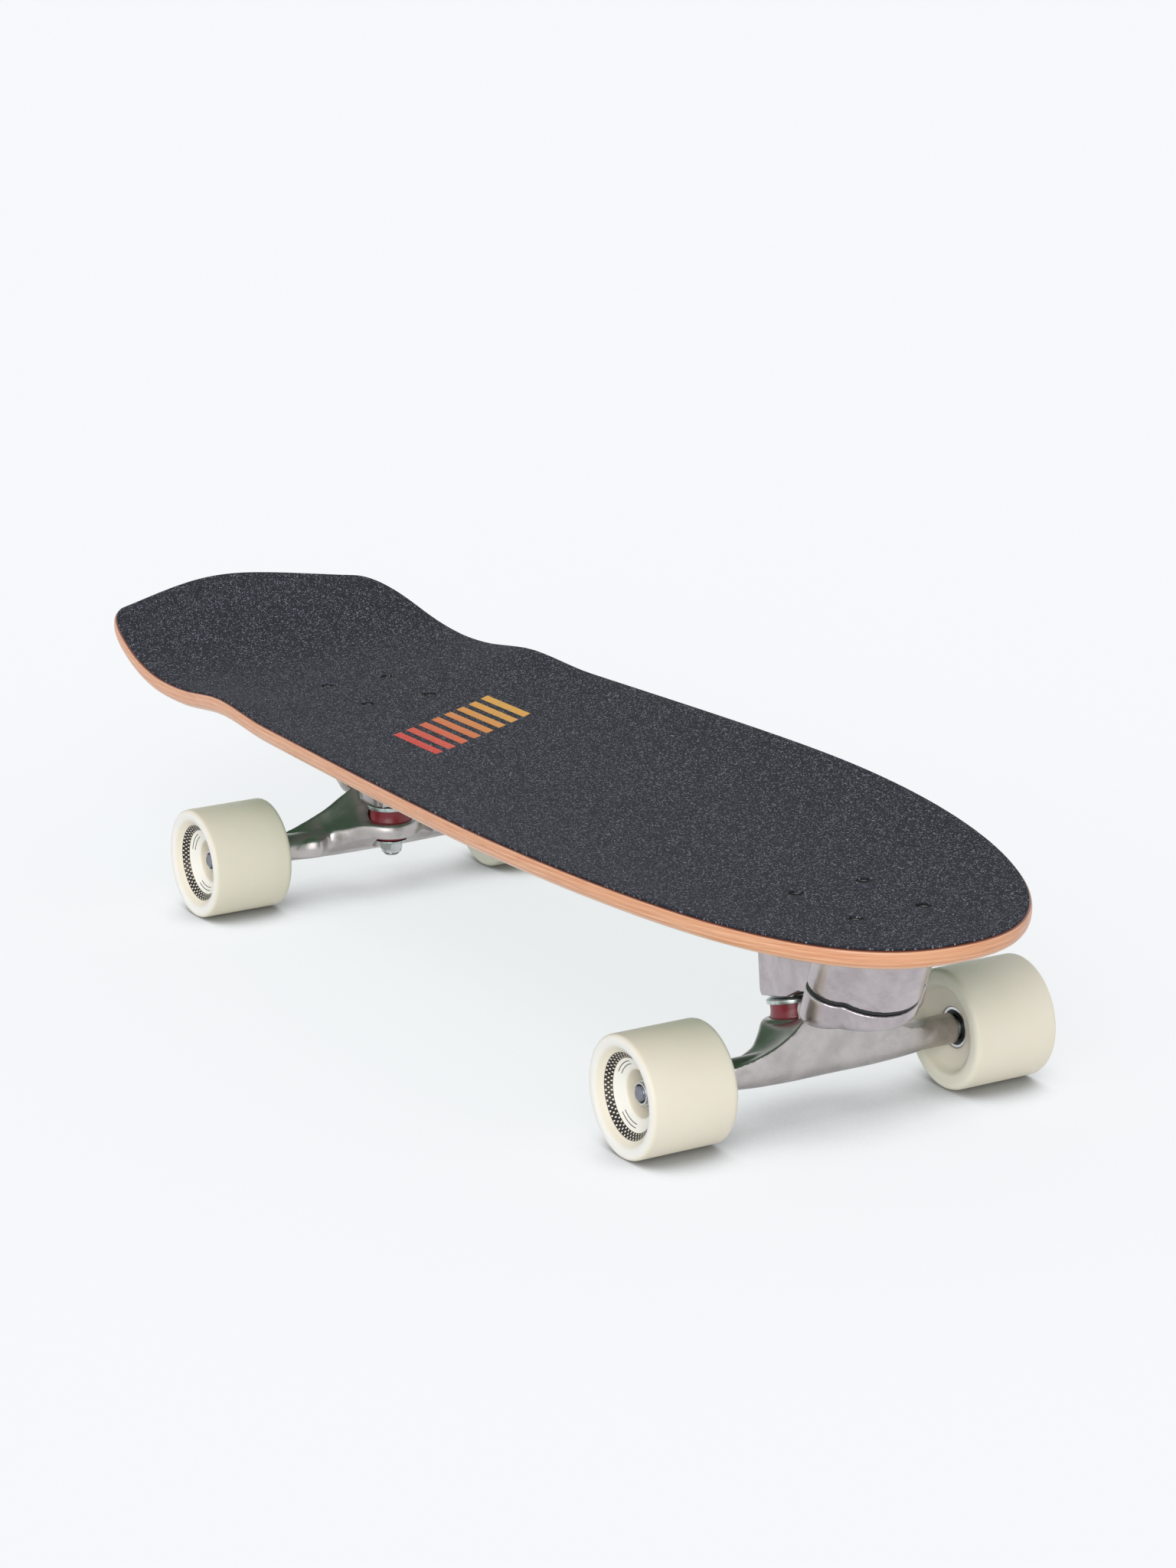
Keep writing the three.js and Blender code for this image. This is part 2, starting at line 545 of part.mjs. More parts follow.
// The housing's section: a round barrel with a lobe at each rear flank. Two circles meet at a crease.
function housingShape(inset) {
  const { lobeX, lobeY } = swing;
  const [big, small] = [swing.housingR - inset, swing.lobeR - inset];
  const apart = Math.hypot(lobeX, lobeY);
  const along = (big * big - small * small + apart * apart) / (2 * apart);
  const bearingAngle = Math.atan2(lobeY, lobeX);
  const creaseAngle = bearingAngle - Math.acos(along / big);
  const crease = [big * Math.cos(creaseAngle), big * Math.sin(creaseAngle)];
  const onLobe = Math.atan2(crease[1] - lobeY, crease[0] - lobeX);
  const shape = new THREE.Shape();
  shape.absarc(0, 0, big, -creaseAngle, creaseAngle);
  shape.absarc(lobeX, lobeY, small, onLobe, Math.PI * 0.94);
  shape.absarc(lobeX, -lobeY, small, -Math.PI * 0.94, -onLobe);
  return shape;
}
const halfSpaceBox = (low, high) => new THREE.BoxGeometry(400, 200, high - low).translate(300, 0, (low + high) / 2);

function makeFrontBase() {
  const { gap, cavityR, cavityHeight, hubHeight, boltR, boltHeadR } = swing;
  const barrel = common(toRow(raised(housingShape(0), gap / 2, 60, 8)), halfSpaceBox(0, plateLowZ + 1));
  const cavity = rod(cavityR, -5, cavityHeight, 24);
  const bushBore = rod(boltR + 2 + FIT, cavityHeight - 1, cavityHeight + hubHeight + 1, 20);
  const headPocket = rod(boltHeadR + 0.8, cavityHeight + hubHeight, 60, 20);
  const legHole = rod(spring.wireR + 0.5, cavityHeight - 2, cavityHeight + spring.legLength + 1, 10).translate(0, spring.coilR, 0);
  const body = join(barrel, mountingPlate(plate.frontLength, frontBoltX + 2));
  return cut(body, ...[cavity, bushBore, headPocket, legHole].map(toRow), ...boltClearanceDeep());
}
const boltClearanceDeep = () =>
  frontBolts.map(([x, y]) => rod(deckBolt.r + FIT, tappedBoltLow - 1, 130, 12).translate(x, y, 0));
add(root, "front_base", makeFrontBase(), castAluminium);

function makeFrontArm() {
  const reach = kingpin.frontReach;
  const { gap, recessDepth, boltR, boltDepth } = swing;
  const cup = common(toRow(raised(housingShape(0), -45, -gap / 2, 8)), halfSpaceBox(arm.bottomZ, 130));
  const blockTop = arm.blockTop - axleZ;
  const archZ = arm.archZ - axleZ;
  const side = new THREE.Shape();
  side.moveTo(reach + arm.blockRear - 2, towerLow);
  side.lineTo(reach + arm.blockRear, towerLow + 2);
  side.lineTo(reach + arm.blockRear + 5, blockTop);
  side.lineTo(-36, blockTop);
  side.lineTo(-36, arm.bottomZ - axleZ);
  side.lineTo(-27, arm.bottomZ - axleZ);
  side.lineTo(-24, 34);
  side.lineTo(-10, archZ);
  side.quadraticCurveTo(reach - 17, archZ, reach - 14.5, towerLow + 2);
  side.lineTo(reach - 12.5, towerLow);
  const neck = fromFront(join(sideProfile(side, arm.halfWidth), pivotBoss(reach)));
  const below = toRow(new THREE.BoxGeometry(300, 200, 80).translate(0, 0, -40 - gap / 2));
  const body = join(cup, common(neck, below));
  const recess = rod(swing.cavityR, -gap / 2 - recessDepth, 5, 24);
  const thread = rod(boltR + FIT, -boltDepth - 1, 5, 16);
  const legHole = rod(spring.wireR + 0.5, -gap / 2 - recessDepth - spring.legLength - 1, 0, 10).translate(0, -spring.coilR, 0);
  const bores = [...kingpinBores(reach, 90), pivotBore(reach)].map(fromFront);
  return cut(body, ...[recess, thread, legHole].map(toRow), ...bores);
}
add(root, "front_arm", makeFrontArm(), castAluminium);

function makeThrustRing() {
  const half = swing.ringThickness / 2;
  return cut(raised(housingShape(swing.ringInset), -half, half, 8), rod(swing.ringHoleR, -5, 5, 24));
}
add(swingFrame, "thrust_ring", makeThrustRing(), blackPolymer);

function makeSwingBolt() {
  const { boltR, boltDepth, boltHeadR, boltHeadHeight, cavityHeight, hubHeight } = swing;
  const seatZ = cavityHeight + hubHeight + FIT;
  return join(rod(boltR, -boltDepth, seatZ + 1, 16), rod(boltHeadR, seatZ, seatZ + boltHeadHeight, 6));
}
add(swingFrame, "swing_bolt", makeSwingBolt(), zincSteel);

const bushHigh = swing.cavityHeight + swing.hubHeight;
const swingBush = ring(swing.boltR + 2, swing.boltR + FIT, swing.cavityHeight, bushHigh);
add(swingFrame, "swing_bushing", upright(swingBush, 20), blackPolymer);

// The return spring: a round-wire torsion coil whose two ends turn to lie along the axis.
function makeReturnSpring() {
  const { coilR, wireR, turns, legLength } = spring;
  const low = -swing.gap / 2 - swing.recessDepth + wireR + FIT;
  const high = swing.cavityHeight - wireR - FIT;
  const perTurn = 14;
  const steps = turns * perTurn + perTurn / 2;
  const points = [new THREE.Vector3(0, -coilR, low - wireR - legLength + 0.6)];
  for (let i = 0; i <= steps; i++) {
    const a = (i / perTurn) * 2 * Math.PI - Math.PI / 2;
    const z = low + ((high - low) * i) / steps;
    points.push(new THREE.Vector3(coilR * Math.cos(a), coilR * Math.sin(a), z));
  }
  points.push(new THREE.Vector3(0, coilR, high + wireR + legLength - 0.6));
  const section = new THREE.Shape();
  section.absarc(0, 0, wireR, 0, 2 * Math.PI);
  const extrudePath = new THREE.CatmullRomCurve3(points);
  return clean(new THREE.ExtrudeGeometry(section, { steps: steps + 6, curveSegments: 3, extrudePath }));
}
add(swingFrame, "return_spring", makeReturnSpring(), zincSteel);

export default root;
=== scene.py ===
# A surf skateboard in a plain studio: a pressed maple deck under grit paper, polished cast trucks, soft cream wheels.
# Metres, +X to the nose, +Y to the rider's left, +Z up. Sizes are written in millimetres and scaled by MM.
import json
import math

import bpy
from mathutils import Matrix, Vector


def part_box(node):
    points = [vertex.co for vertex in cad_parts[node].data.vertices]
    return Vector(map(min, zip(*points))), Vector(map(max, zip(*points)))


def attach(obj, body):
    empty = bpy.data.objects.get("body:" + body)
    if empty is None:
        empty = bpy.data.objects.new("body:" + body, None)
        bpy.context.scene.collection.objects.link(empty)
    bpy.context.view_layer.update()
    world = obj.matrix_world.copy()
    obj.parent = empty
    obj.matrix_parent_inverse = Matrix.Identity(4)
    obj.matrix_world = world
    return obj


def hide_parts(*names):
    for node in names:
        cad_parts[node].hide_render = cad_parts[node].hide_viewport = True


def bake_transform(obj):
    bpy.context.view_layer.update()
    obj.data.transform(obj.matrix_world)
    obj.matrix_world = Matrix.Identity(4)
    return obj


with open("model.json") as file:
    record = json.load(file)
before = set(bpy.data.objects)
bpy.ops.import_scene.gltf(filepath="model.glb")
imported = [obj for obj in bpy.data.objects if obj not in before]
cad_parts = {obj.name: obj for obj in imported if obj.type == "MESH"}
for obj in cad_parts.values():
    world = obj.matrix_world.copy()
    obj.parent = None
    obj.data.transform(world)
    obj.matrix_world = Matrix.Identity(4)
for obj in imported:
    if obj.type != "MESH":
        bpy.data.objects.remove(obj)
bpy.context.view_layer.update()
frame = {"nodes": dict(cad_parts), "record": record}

MM = 0.001
TURN = 2 * math.pi
FACE_SPAN = 100
BODY_OF = {node: body for body, nodes in frame["record"]["behaviour"]["bodies"].items() for node in nodes}


def box_mm(node):
    """The lowest corner, highest corner and middle of a CAD node, in millimetres."""
    low, high = (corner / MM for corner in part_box(node))
    return low, high, (low + high) / 2


# ---- Finishes ----
def paint_card(red, green, blue):
    """A colour from 0 to 255 as seen, in linear light."""
    shares = (value / 255 for value in (red, green, blue))
    return tuple(v / 12.92 if v <= 0.04045 else ((v + 0.055) / 1.055) ** 2.4 for v in shares)


def maths(operation, swapped=False):
    """A method that adds a Math node for one operation on a signal."""

    def method(self, *others):
        return self.finish.add("Math", (*others, self) if swapped else (self, *others), operation=operation)

    return method


class Signal:
    """A shader socket that takes part in sums: each operation adds its own Math node."""

    def __init__(self, finish, socket):
        self.finish, self.socket = finish, socket

    __add__ = __radd__ = maths("ADD")
    __mul__ = __rmul__ = maths("MULTIPLY")
    __sub__, __rsub__ = maths("SUBTRACT"), maths("SUBTRACT", swapped=True)
    __truediv__, __pow__, __abs__ = maths("DIVIDE"), maths("POWER"), maths("ABSOLUTE")
    floor, fraction, larger = maths("FLOOR"), maths("FRACT"), maths("MAXIMUM")

    def ramp(self, low, high):
        """0 at low and before it, 1 at high and after it, smooth between them."""
        return self.finish.add("MapRange", {0: self, 1: low, 2: high}, interpolation_type="SMOOTHSTEP")

    def band(self, low, high, edge):
        """1 between low and high, 0 outside them."""
        return self.ramp(low - edge, low + edge) * (1 - self.ramp(high - edge, high + edge))


class Recipe:
    """A node tree that is filled in by sums and by single nodes."""

    def __init__(self, tree):
        self.tree = tree

    def add(self, kind, inputs=(), output=0, **settings):
        """Adds a node: settings first, then the values or links of its sockets. Gives one output, or several."""
        node = self.tree.nodes.new("ShaderNode" + kind)
        for label, value in settings.items():
            setattr(node, label, value)
        for label, value in inputs.items() if isinstance(inputs, dict) else enumerate(inputs):
            self.connect(value, node.inputs[label])
        if isinstance(output, tuple):
            return [Signal(self, node.outputs[label]) for label in output]
        return Signal(self, node.outputs[output])

    def connect(self, value, socket):
        if isinstance(value, Signal):
            self.tree.links.new(value.socket, socket)
        elif isinstance(value, tuple) and socket.type == "RGBA":
            socket.default_value = (*paint_card(*value), 1)
        else:
            socket.default_value = value

    def split(self, vector):
        return self.add("SeparateXYZ", [vector], output=("X", "Y", "Z"))

    def seen(self):
        """1 where a ray comes from the camera, a reflection or a clear piece, 0 where it only lights the set."""
        rays = self.add("LightPath", output=("Is Camera Ray", "Is Glossy Ray", "Is Transmission Ray"))
        return rays[0].larger(rays[1]).larger(rays[2])

    def mix(self, share, first, second):
        node = self.tree.nodes.new("ShaderNodeMix")
        node.data_type = "RGBA"
        for index, value in ((0, share), (6, first), (7, second)):
            self.connect(value, node.inputs[index])
        return Signal(self, node.outputs[2])


class Finish(Recipe):
    """One material made of nodes, for one sort of surface on the skateboard."""

    def __init__(self, name, slot=None, **constants):
        self.slot = slot
        self.material = bpy.data.materials.new(name)
        self.material.use_nodes = True
        super().__init__(self.material.node_tree)
        self.shader = self.tree.nodes["Principled BSDF"]
        for label, value in constants.items():
            self.shader.inputs[label.replace("_", " ")].default_value = value

    def place(self):
        """The place on the piece, in millimetres."""
        place = self.add("TexCoord", output="Object")
        return self.add("VectorMath", {0: place, "Scale": 1 / MM}, operation="SCALE")

    def stretched(self, vector, x, y, z):
        return self.add("VectorMath", [vector, (x, y, z)], operation="MULTIPLY")

    def grain(self, vector, size, detail=2.0, roughness=0.5, distortion=0.0):
        """Soft noise from 0 to 1 whose spots are about size millimetres across."""
        inputs = {"Vector": vector, "Scale": 1 / size, "Detail": detail, "Roughness": roughness}
        return self.add("TexNoise", {**inputs, "Distortion": distortion}, output="Fac")

    def specks(self, vector, size, output="Color"):
        return self.add("TexVoronoi", {"Vector": vector, "Scale": 1 / size}, output=output)

    def marked(self, name):
        """A number stored at each point of the piece."""
        return self.add("Attribute", output="Fac", attribute_name=name)

    def wheel_face(self):
        """Across and up on a turned piece's own face, and the distance from its middle, in millimetres."""
        across, up, _ = self.split(self.add("UVMap", output="UV", uv_map="face"))
        across, up = across * FACE_SPAN, up * FACE_SPAN
        return across, up, (across * across + up * up) ** 0.5

    def bump(self, height, strength, depth):
        inputs = {"Height": height, "Strength": strength, "Distance": depth * MM}
        return self.add("Bump", inputs)

    def paint(self, **links):
        for label, value in links.items():
            self.connect(value, self.shader.inputs[label.replace("_", " ")])
        return self


def maple_ply():
    """Seven veneers on edge, a thin brown line under the grit paper, a green stained lowest face, and painted shade
    that darkens the wood round each bolt's countersink.
    """
    finish = Finish("pressed_maple", "maple_ply", Coat_Roughness=0.12, Coat_Weight=0.35)
    place = finish.place()
    depth = finish.marked("depth") + (finish.grain(place, 60) - 0.5) * 0.2
    veneer = depth / 1.43
    crossing = ((veneer.floor() * 0.5).fraction() * 2).ramp(0.2, 0.8)
    fibres = finish.grain(finish.stretched(place, 0.03, 0.03, 2.4), 1.1, 5, 0.65)
    streaks = finish.grain(finish.stretched(place, 0.02, 0.02, 1.3), 0.45, 3)
    wood = finish.mix(fibres.ramp(0.25, 0.75), (218, 146, 100), (244, 194, 154))
    wood = finish.mix(crossing * 0.3, wood, (200, 124, 88))
    wood = finish.mix(streaks.ramp(0.5, 0.7) * 0.5, wood, (180, 102, 68))
    glue = abs(veneer.fraction() - 0.5).ramp(0.43, 0.5)
    wood = finish.mix(glue * 0.35, wood, (158, 88, 58))
    wood = finish.mix(depth.ramp(7.4, 9.0) * 0.45, wood, (244, 204, 170))
    wood = finish.mix(1 - depth.ramp(0.35, 0.8), wood, (120, 62, 40))
    long_grain = finish.grain(finish.stretched(place, 0.03, 0.5, 0.5), 2.2, 5, 0.65, 0.4)
    stained = finish.mix(long_grain.ramp(0.3, 0.7), (30, 96, 50), (56, 134, 74))
    wood = finish.mix(depth.ramp(9.6, 9.78), wood, stained)
    # painted shade: the wood within 5.2 mm of each bolt is made near black, standing in for the shadow in its
    # countersink recess
    wood = finish.mix(finish.marked("bore"), wood, (26, 21, 19))
    scuffs = finish.grain(place, 9, 4)
    finish.paint(Base_Color=wood, Roughness=0.38 + scuffs * 0.16)
    return finish.paint(Normal=finish.bump(fibres + streaks * 0.5, 0.25, 0.12))


def grit_paper():
    """Charcoal grit with pale specks painted on as glints off its grains; a plain group of fading slanted bars is
    printed behind the middle.
    """
    finish = Finish("grit_paper", "grip_grit", Specular_IOR_Level=0.3)
    place = finish.place()
    flat = finish.stretched(place, 1, 1, 0.3)
    shine = finish.split(finish.specks(flat, 0.62))[0]
    second = finish.split(finish.specks(flat, 0.42))[1]
    fine = finish.grain(flat, 0.36, 2, 0.75)
    cloud = finish.grain(place, 70, 3)
    base = finish.mix(cloud, (30, 31, 38), (38, 39, 48))
    base = finish.mix(fine.ramp(0.5, 0.8) * 0.5, base, (78, 80, 90))
    base = finish.mix(1 - fine.ramp(0.25, 0.5), base, (15, 16, 20))
    x, y, _ = finish.split(place)
    along = x + 96 + y * 0.55
    bars = abs(((y + 46) / 12).fraction() - 0.5).ramp(0.27, 0.30)
    inside = along.band(-26, 26, 0.5) * y.band(-46, 50, 0.5)
    glow = finish.mix(((y + 46) / 96).ramp(0, 1), (244, 92, 80), (255, 194, 92))
    ink = (1 - bars) * inside * (0.78 + fine.ramp(0.3, 0.6) * 0.22)
    base = finish.mix(ink, base, glow)
    # painted glints: pale specks on the grit stand in for light caught by its grains
    painted_grit_glints = shine.ramp(0.88, 0.98) * 0.6 + second.ramp(0.92, 0.99) * 0.5
    base = finish.mix(painted_grit_glints, base, (176, 180, 192))
    finish.paint(Base_Color=base, Roughness=0.92 - painted_grit_glints * 0.35)
    return finish.paint(Normal=finish.bump(fine + shine * 0.8, 0.6, 0.2))


def cast_aluminium(name, dark, light, roughness, marks):
    """Cast metal: clouded where it was polished or tumbled, with a few fine pits."""
    finish = Finish(name, "cast_aluminium", Metallic=1.0)
    place = finish.place()
    cloud = finish.grain(place, 16, 5, 0.6)
    smears = finish.grain(finish.stretched(place, 1, 0.45, 1), 7, 4, 0.6, 0.6)
    pits = finish.grain(place, 0.9, 3, 0.6)
    tone = finish.mix(cloud.ramp(0.3, 0.7), dark, light)
    tone = finish.mix(smears.ramp(0.5, 0.72) * marks, tone, (150, 146, 146))
    tone = finish.mix(pits.ramp(0.68, 0.8) * marks, tone, (110, 108, 110))
    finish.paint(Base_Color=tone, Roughness=roughness + cloud * 0.1 + smears * marks * 0.25)
    return finish.paint(Normal=finish.bump(pits * 0.4 + smears * 2, 0.2, 0.25))


def plated_steel(name, slot, dark, light, tint=None):
    """Zinc plated steel; a tint adds the plating's faint rainbow."""
    finish = Finish(name, slot, Metallic=1.0)
    place = finish.place()
    cloud = finish.grain(place, 6, 3)
    fine = finish.grain(place, 0.5, 2)
    tone = finish.mix(cloud, dark, light)
    if tint:
        patches = finish.grain(place, 4.5, 2, 0.5, 1.2)
        tone = finish.mix(patches.ramp(0.46, 0.64) * 0.5, tone, tint)
    finish.paint(Base_Color=tone, Roughness=0.2 + fine * 0.18)
    return finish.paint(Normal=finish.bump(fine, 0.12, 0.08))


def nut_steel():
    """A bright lock nut: the washer face and the dark insert are told apart by their distance from the middle."""
    finish = Finish("bright_lock_nut", "zinc_steel", Metallic=1.0)
    _, _, radius = finish.wheel_face()
    place = finish.place()
    fine = finish.grain(place, 0.8, 3)
    tone = finish.mix(fine, (186, 190, 192), (228, 231, 232))
    insert = radius.band(3.9, 5.1, 0.12)
    tone = finish.mix(insert, tone, (70, 72, 80))
    finish.paint(Base_Color=tone, Roughness=0.22 + fine * 0.14)
    return finish.paint(Normal=finish.bump(fine, 0.15, 0.1))


def dull_black(name, grain, wear, dark, light, roughness, spread, **constants):
    """Black metal or plastic that is paler where its grain is worn; wear is where that starts and ends."""
    finish = Finish(*name, **constants)
    worn = finish.grain(finish.place(), *grain)
    tone = finish.mix(worn.ramp(*wear) if wear else worn, dark, light)
    finish.paint(Base_Color=tone, Roughness=roughness + worn * spread)
    return finish.paint(Normal=finish.bump(worn, 0.15, 0.1))


def red_urethane():
    glow = {"Subsurface_Weight": 0.25, "Subsurface_Scale": 0.004}
    finish = Finish("deep_red_urethane", "red_urethane", Coat_Weight=0.3, Coat_Roughness=0.2, **glow)
    place = finish.place()
    cloud = finish.grain(place, 8, 2)
    tone = finish.mix(cloud, (118, 14, 30), (158, 26, 44))
    finish.paint(Base_Color=tone, Roughness=0.32 + cloud * 0.12)
    return finish.paint(Normal=finish.bump(finish.grain(place, 2.5, 2), 0.08, 0.1))


def cream_urethane():
    """Milky urethane: painted highlights that whiten the rounded lips, a printed band of dots round each outer face, a
    pale ring with thin arcs in it.
    """
    glow = {"Subsurface_Weight": 0.2, "Subsurface_Scale": 0.003}
    finish = Finish("cream_urethane", "cream_urethane", Specular_IOR_Level=0.4, **glow)
    finish.shader.inputs["Subsurface Radius"].default_value = (1.0, 0.7, 0.35)
    place = finish.place()
    across, up, radius = finish.wheel_face()
    out = abs(finish.split(place)[1])
    cloud = finish.grain(place, 26, 3)
    tone = finish.mix(cloud, (236, 227, 207), (240, 233, 216))
    # painted highlight: the rounded lip of the outer face is made whiter, standing in for light caught on it
    painted_lip_highlight = radius.band(26.2, 31.4, 1.2) * out.ramp(119, 122.5)
    tone = finish.mix(painted_lip_highlight * 0.75, tone, (248, 247, 244))
    # painted highlight: the rounded lip of the inner face is made whiter in the same way
    painted_inner_lip_highlight = radius.band(24, 32, 1.0) * (1 - out.ramp(74, 77))
    tone = finish.mix(painted_inner_lip_highlight * 0.5, tone, (246, 243, 228))
    outer = out.ramp(110, 112)
    angle = finish.add("Math", [up, across], operation="ARCTAN2") / TURN + 0.5
    pale = radius.band(12.8, 19.2, 0.2) * outer
    tone = finish.mix(pale * 0.8, tone, (250, 247, 240))
    row = (radius - 19.4) / 1.17
    stagger = (row.floor() * 0.5).fraction()
    along = ((angle * 50 + stagger).fraction() - 0.5) * 2.64
    inward = (row.fraction() - 0.5) * 1.17
    dot = 1 - (along * along + inward * inward).ramp(0.12, 0.26)
    fade = angle.band(0.2, 0.26, 0.05)
    ink = finish.mix(fade, (26, 20, 20), (84, 74, 70))
    tone = finish.mix(radius.band(19.4, 22.9, 0.08) * outer * (1 - dot), tone, ink)
    arcs = radius.band(15.6, 16.0, 0.08) + radius.band(17.3, 17.7, 0.08)
    spread = abs((angle * 3 + 0.3).fraction() - 0.5).ramp(0.19, 0.2)
    tone = finish.mix(arcs * outer * (1 - spread), tone, (46, 38, 36))
    scuffs = finish.grain(place, 3, 4)
    finish.paint(Base_Color=tone, Roughness=0.36 + scuffs * 0.12)
    return finish.paint(Normal=finish.bump(scuffs, 0.06, 0.12))


def bearing_steel():
    """A bright race with a black shield inside it."""
    finish = Finish("bearing_race_and_shield", "bearing_steel")
    _, _, radius = finish.wheel_face()
    fine = finish.grain(finish.place(), 0.7, 2)
    shield = radius.band(6.6, 9.35, 0.06)
    tone = finish.mix(fine, (196, 199, 203), (222, 224, 228))
    tone = finish.mix(shield, tone, (22, 23, 27))
    finish.paint(Base_Color=tone, Metallic=1 - shield, Roughness=0.18 + shield * 0.25 + fine * 0.08)
    return finish.paint(Normal=finish.bump(fine, 0.06, 0.05))


MAPLE = maple_ply()
GRIT = grit_paper()
POLISHED = cast_aluminium("polished_cast_aluminium", (176, 167, 170), (196, 187, 190), 0.17, 0.25)
TUMBLED = cast_aluminium("tumbled_cast_aluminium", (180, 174, 173), (200, 194, 192), 0.26, 0.35)
ZINC = plated_steel("zinc_steel", "zinc_steel", (176, 180, 180), (214, 218, 218))
TINTED_ZINC = plated_steel("tinted_zinc_washer", "zinc_steel", (170, 178, 176), (220, 226, 224), (122, 160, 150))
AXLE_STEEL = plated_steel("axle_steel", "zinc_steel", (112, 114, 124), (146, 148, 158))
NUT = nut_steel()
BLACK_STEEL = dull_black(
    ("black_bolt_steel", "black_steel"), (1.6, 4, 0.65), (0.5, 0.8), (28, 29, 32), (70, 71, 76), 0.38, 0.2,
    Metallic=0.75,
)
RED = red_urethane()
CREAM = cream_urethane()
BEARING = bearing_steel()
POLYMER = dull_black(("black_polymer", "black_polymer"), (1.2, 3), None, (22, 23, 25), (36, 37, 40), 0.45, 0.15)


# ---- Modelling tools ----
def mode(name):
    bpy.ops.object.mode_set(mode=name)


def only(piece):
    bpy.ops.object.select_all(action="DESELECT")
    piece.select_set(True)
    bpy.context.view_layer.objects.active = piece
    return piece


def edit(piece, *steps):
    """Runs edit mode steps on a piece with all of it selected."""
    only(piece)
    mode("EDIT")
    bpy.ops.mesh.select_all(action="SELECT")
    for step in steps:
        step()
    mode("OBJECT")
    return piece


def tidy_mesh(piece):
    """Merges doubles and turns every face outwards."""
    return edit(
        piece,
        lambda: bpy.ops.mesh.remove_doubles(threshold=0.00001),
        lambda: bpy.ops.mesh.normals_make_consistent(inside=False),
    )


def modify(piece, kind, **settings):
    modifier = piece.modifiers.new("step", kind)
    for label, value in settings.items():
        setattr(modifier, label, value)
    only(piece)
    bpy.ops.object.modifier_apply(modifier=modifier.name)
    return piece


def fused(*pieces):
    """Joins meshes into one object."""
    bpy.ops.object.select_all(action="DESELECT")
    for piece in pieces:
        piece.select_set(True)
    bpy.context.view_layer.objects.active = pieces[0]
    if len(pieces) > 1:
        bpy.ops.object.join()
    return pieces[0]


def cut(piece, *cutters, operation="DIFFERENCE", solver="MANIFOLD"):
    for cutter in cutters:
        modify(piece, "BOOLEAN", object=cutter, operation=operation, solver=solver)
        bpy.data.objects.remove(cutter)
    return piece


def cast(*shells, grain=0.75, rounds=5):
    """Melts overlapping shells into one casting with softened edges and filled corners."""
    piece = fused(*shells)
    modify(piece, "REMESH", mode="VOXEL", voxel_size=grain * MM)
    return modify(piece, "SMOOTH", factor=0.5, iterations=rounds)


def settle(piece, name, finish, *nodes, smooth=35, bends=False):
    """Finishes a piece: its place goes into its mesh, and it takes over from its CAD nodes on their body.
    A piece that bends between two bodies rides on neither."""
    only(piece)
    bpy.ops.object.transform_apply()
    bpy.ops.object.shade_smooth_by_angle(angle=math.radians(smooth))
    piece.name = piece.data.name = name
    piece.data.materials.clear()
    piece.data.materials.append(finish.material)
    if not bends:
        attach(piece, BODY_OF[nodes[0]])
    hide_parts(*nodes)
    return piece


def basis(axis):
    """An axis as a unit vector, with the direction that a profile's radius is drawn along."""
    axis = Vector(axis).normalized()
    side = Vector((1, 0, 0)) if abs(axis.x) < 0.7 else Vector((0, 0, 1))
    return axis, (side - axis * side.dot(axis)).normalized()


def turned(profile, centre, axis=(0, 0, 1), steps=64):
    """Draws a closed profile of (radius, distance along the axis) by extruding a point, then spins it."""
    axis, side = basis(axis)
    centre = Vector(centre)
    places = [(centre + side * r + axis * h) * MM for r, h in profile]
    bpy.ops.object.select_all(action="DESELECT")
    bpy.ops.mesh.primitive_plane_add(size=MM, location=places[0])
    piece = bpy.context.object
    mode("EDIT")
    bpy.ops.mesh.select_mode(type="VERT")
    bpy.ops.mesh.merge(type="CENTER")
    for before, after in zip(places, places[1:] + places[:1]):
        bpy.ops.mesh.extrude_region_move(TRANSFORM_OT_translate={"value": after - before})
    bpy.ops.mesh.select_all(action="SELECT")
    bpy.ops.mesh.remove_doubles(threshold=0.000001)
    bpy.ops.mesh.spin(steps=steps, angle=TURN, center=centre * MM, axis=axis)
    mode("OBJECT")
    only(piece)
    bpy.ops.object.transform_apply()
    return tidy_mesh(piece)


def rounded(profile, reach=1.0, points=4):
    """A profile whose corners are cut back by reach, or by a corner's own third number, and rounded."""
    result = []
    for index, entry in enumerate(profile):
        corner = Vector(entry[:2])
        cutback = entry[2] if len(entry) > 2 else reach
        if entry[0] == 0 or cutback == 0:
            result.append(tuple(corner))
            continue
        before = Vector(profile[index - 1][:2]) - corner
        after = Vector(profile[(index + 1) % len(profile)][:2]) - corner
        cutback = min(cutback, before.length * 0.49, after.length * 0.49)
        before, after = before.normalized() * cutback, after.normalized() * cutback
        for step in range(points + 1):
            share = step / points
            result.append(tuple(corner + before * (1 - share) ** 2 + after * share**2))
    return result


def rod(radius, centre, low, high, axis=(0, 0, 1), sides=48, edge=0.0):
    """A cylinder between two heights along its axis, with rounded rims where edge is given."""
    axis, _ = basis(axis)
    middle = (Vector(centre) + axis * (low + high) / 2) * MM
    bpy.ops.object.select_all(action="DESELECT")
    size = {"vertices": sides, "radius": radius * MM, "depth": (high - low) * MM}
    bpy.ops.mesh.primitive_cylinder_add(location=middle, rotation=axis.to_track_quat("Z", "Y").to_euler(), **size)
    piece = bpy.context.object
    bpy.ops.object.transform_apply()
    if edge:
        limits = {"limit_method": "ANGLE", "angle_limit": math.radians(50)}
        modify(piece, "BEVEL", width=edge * MM, segments=4, **limits)
    return piece


def block(low, high):
    """A box between two corners."""
    low, high = Vector(low), Vector(high)
    bpy.ops.object.select_all(action="DESELECT")
    bpy.ops.mesh.primitive_cube_add(size=MM, location=(low + high) / 2 * MM, scale=high - low)
    piece = bpy.context.object
    bpy.ops.object.transform_apply()
    return piece


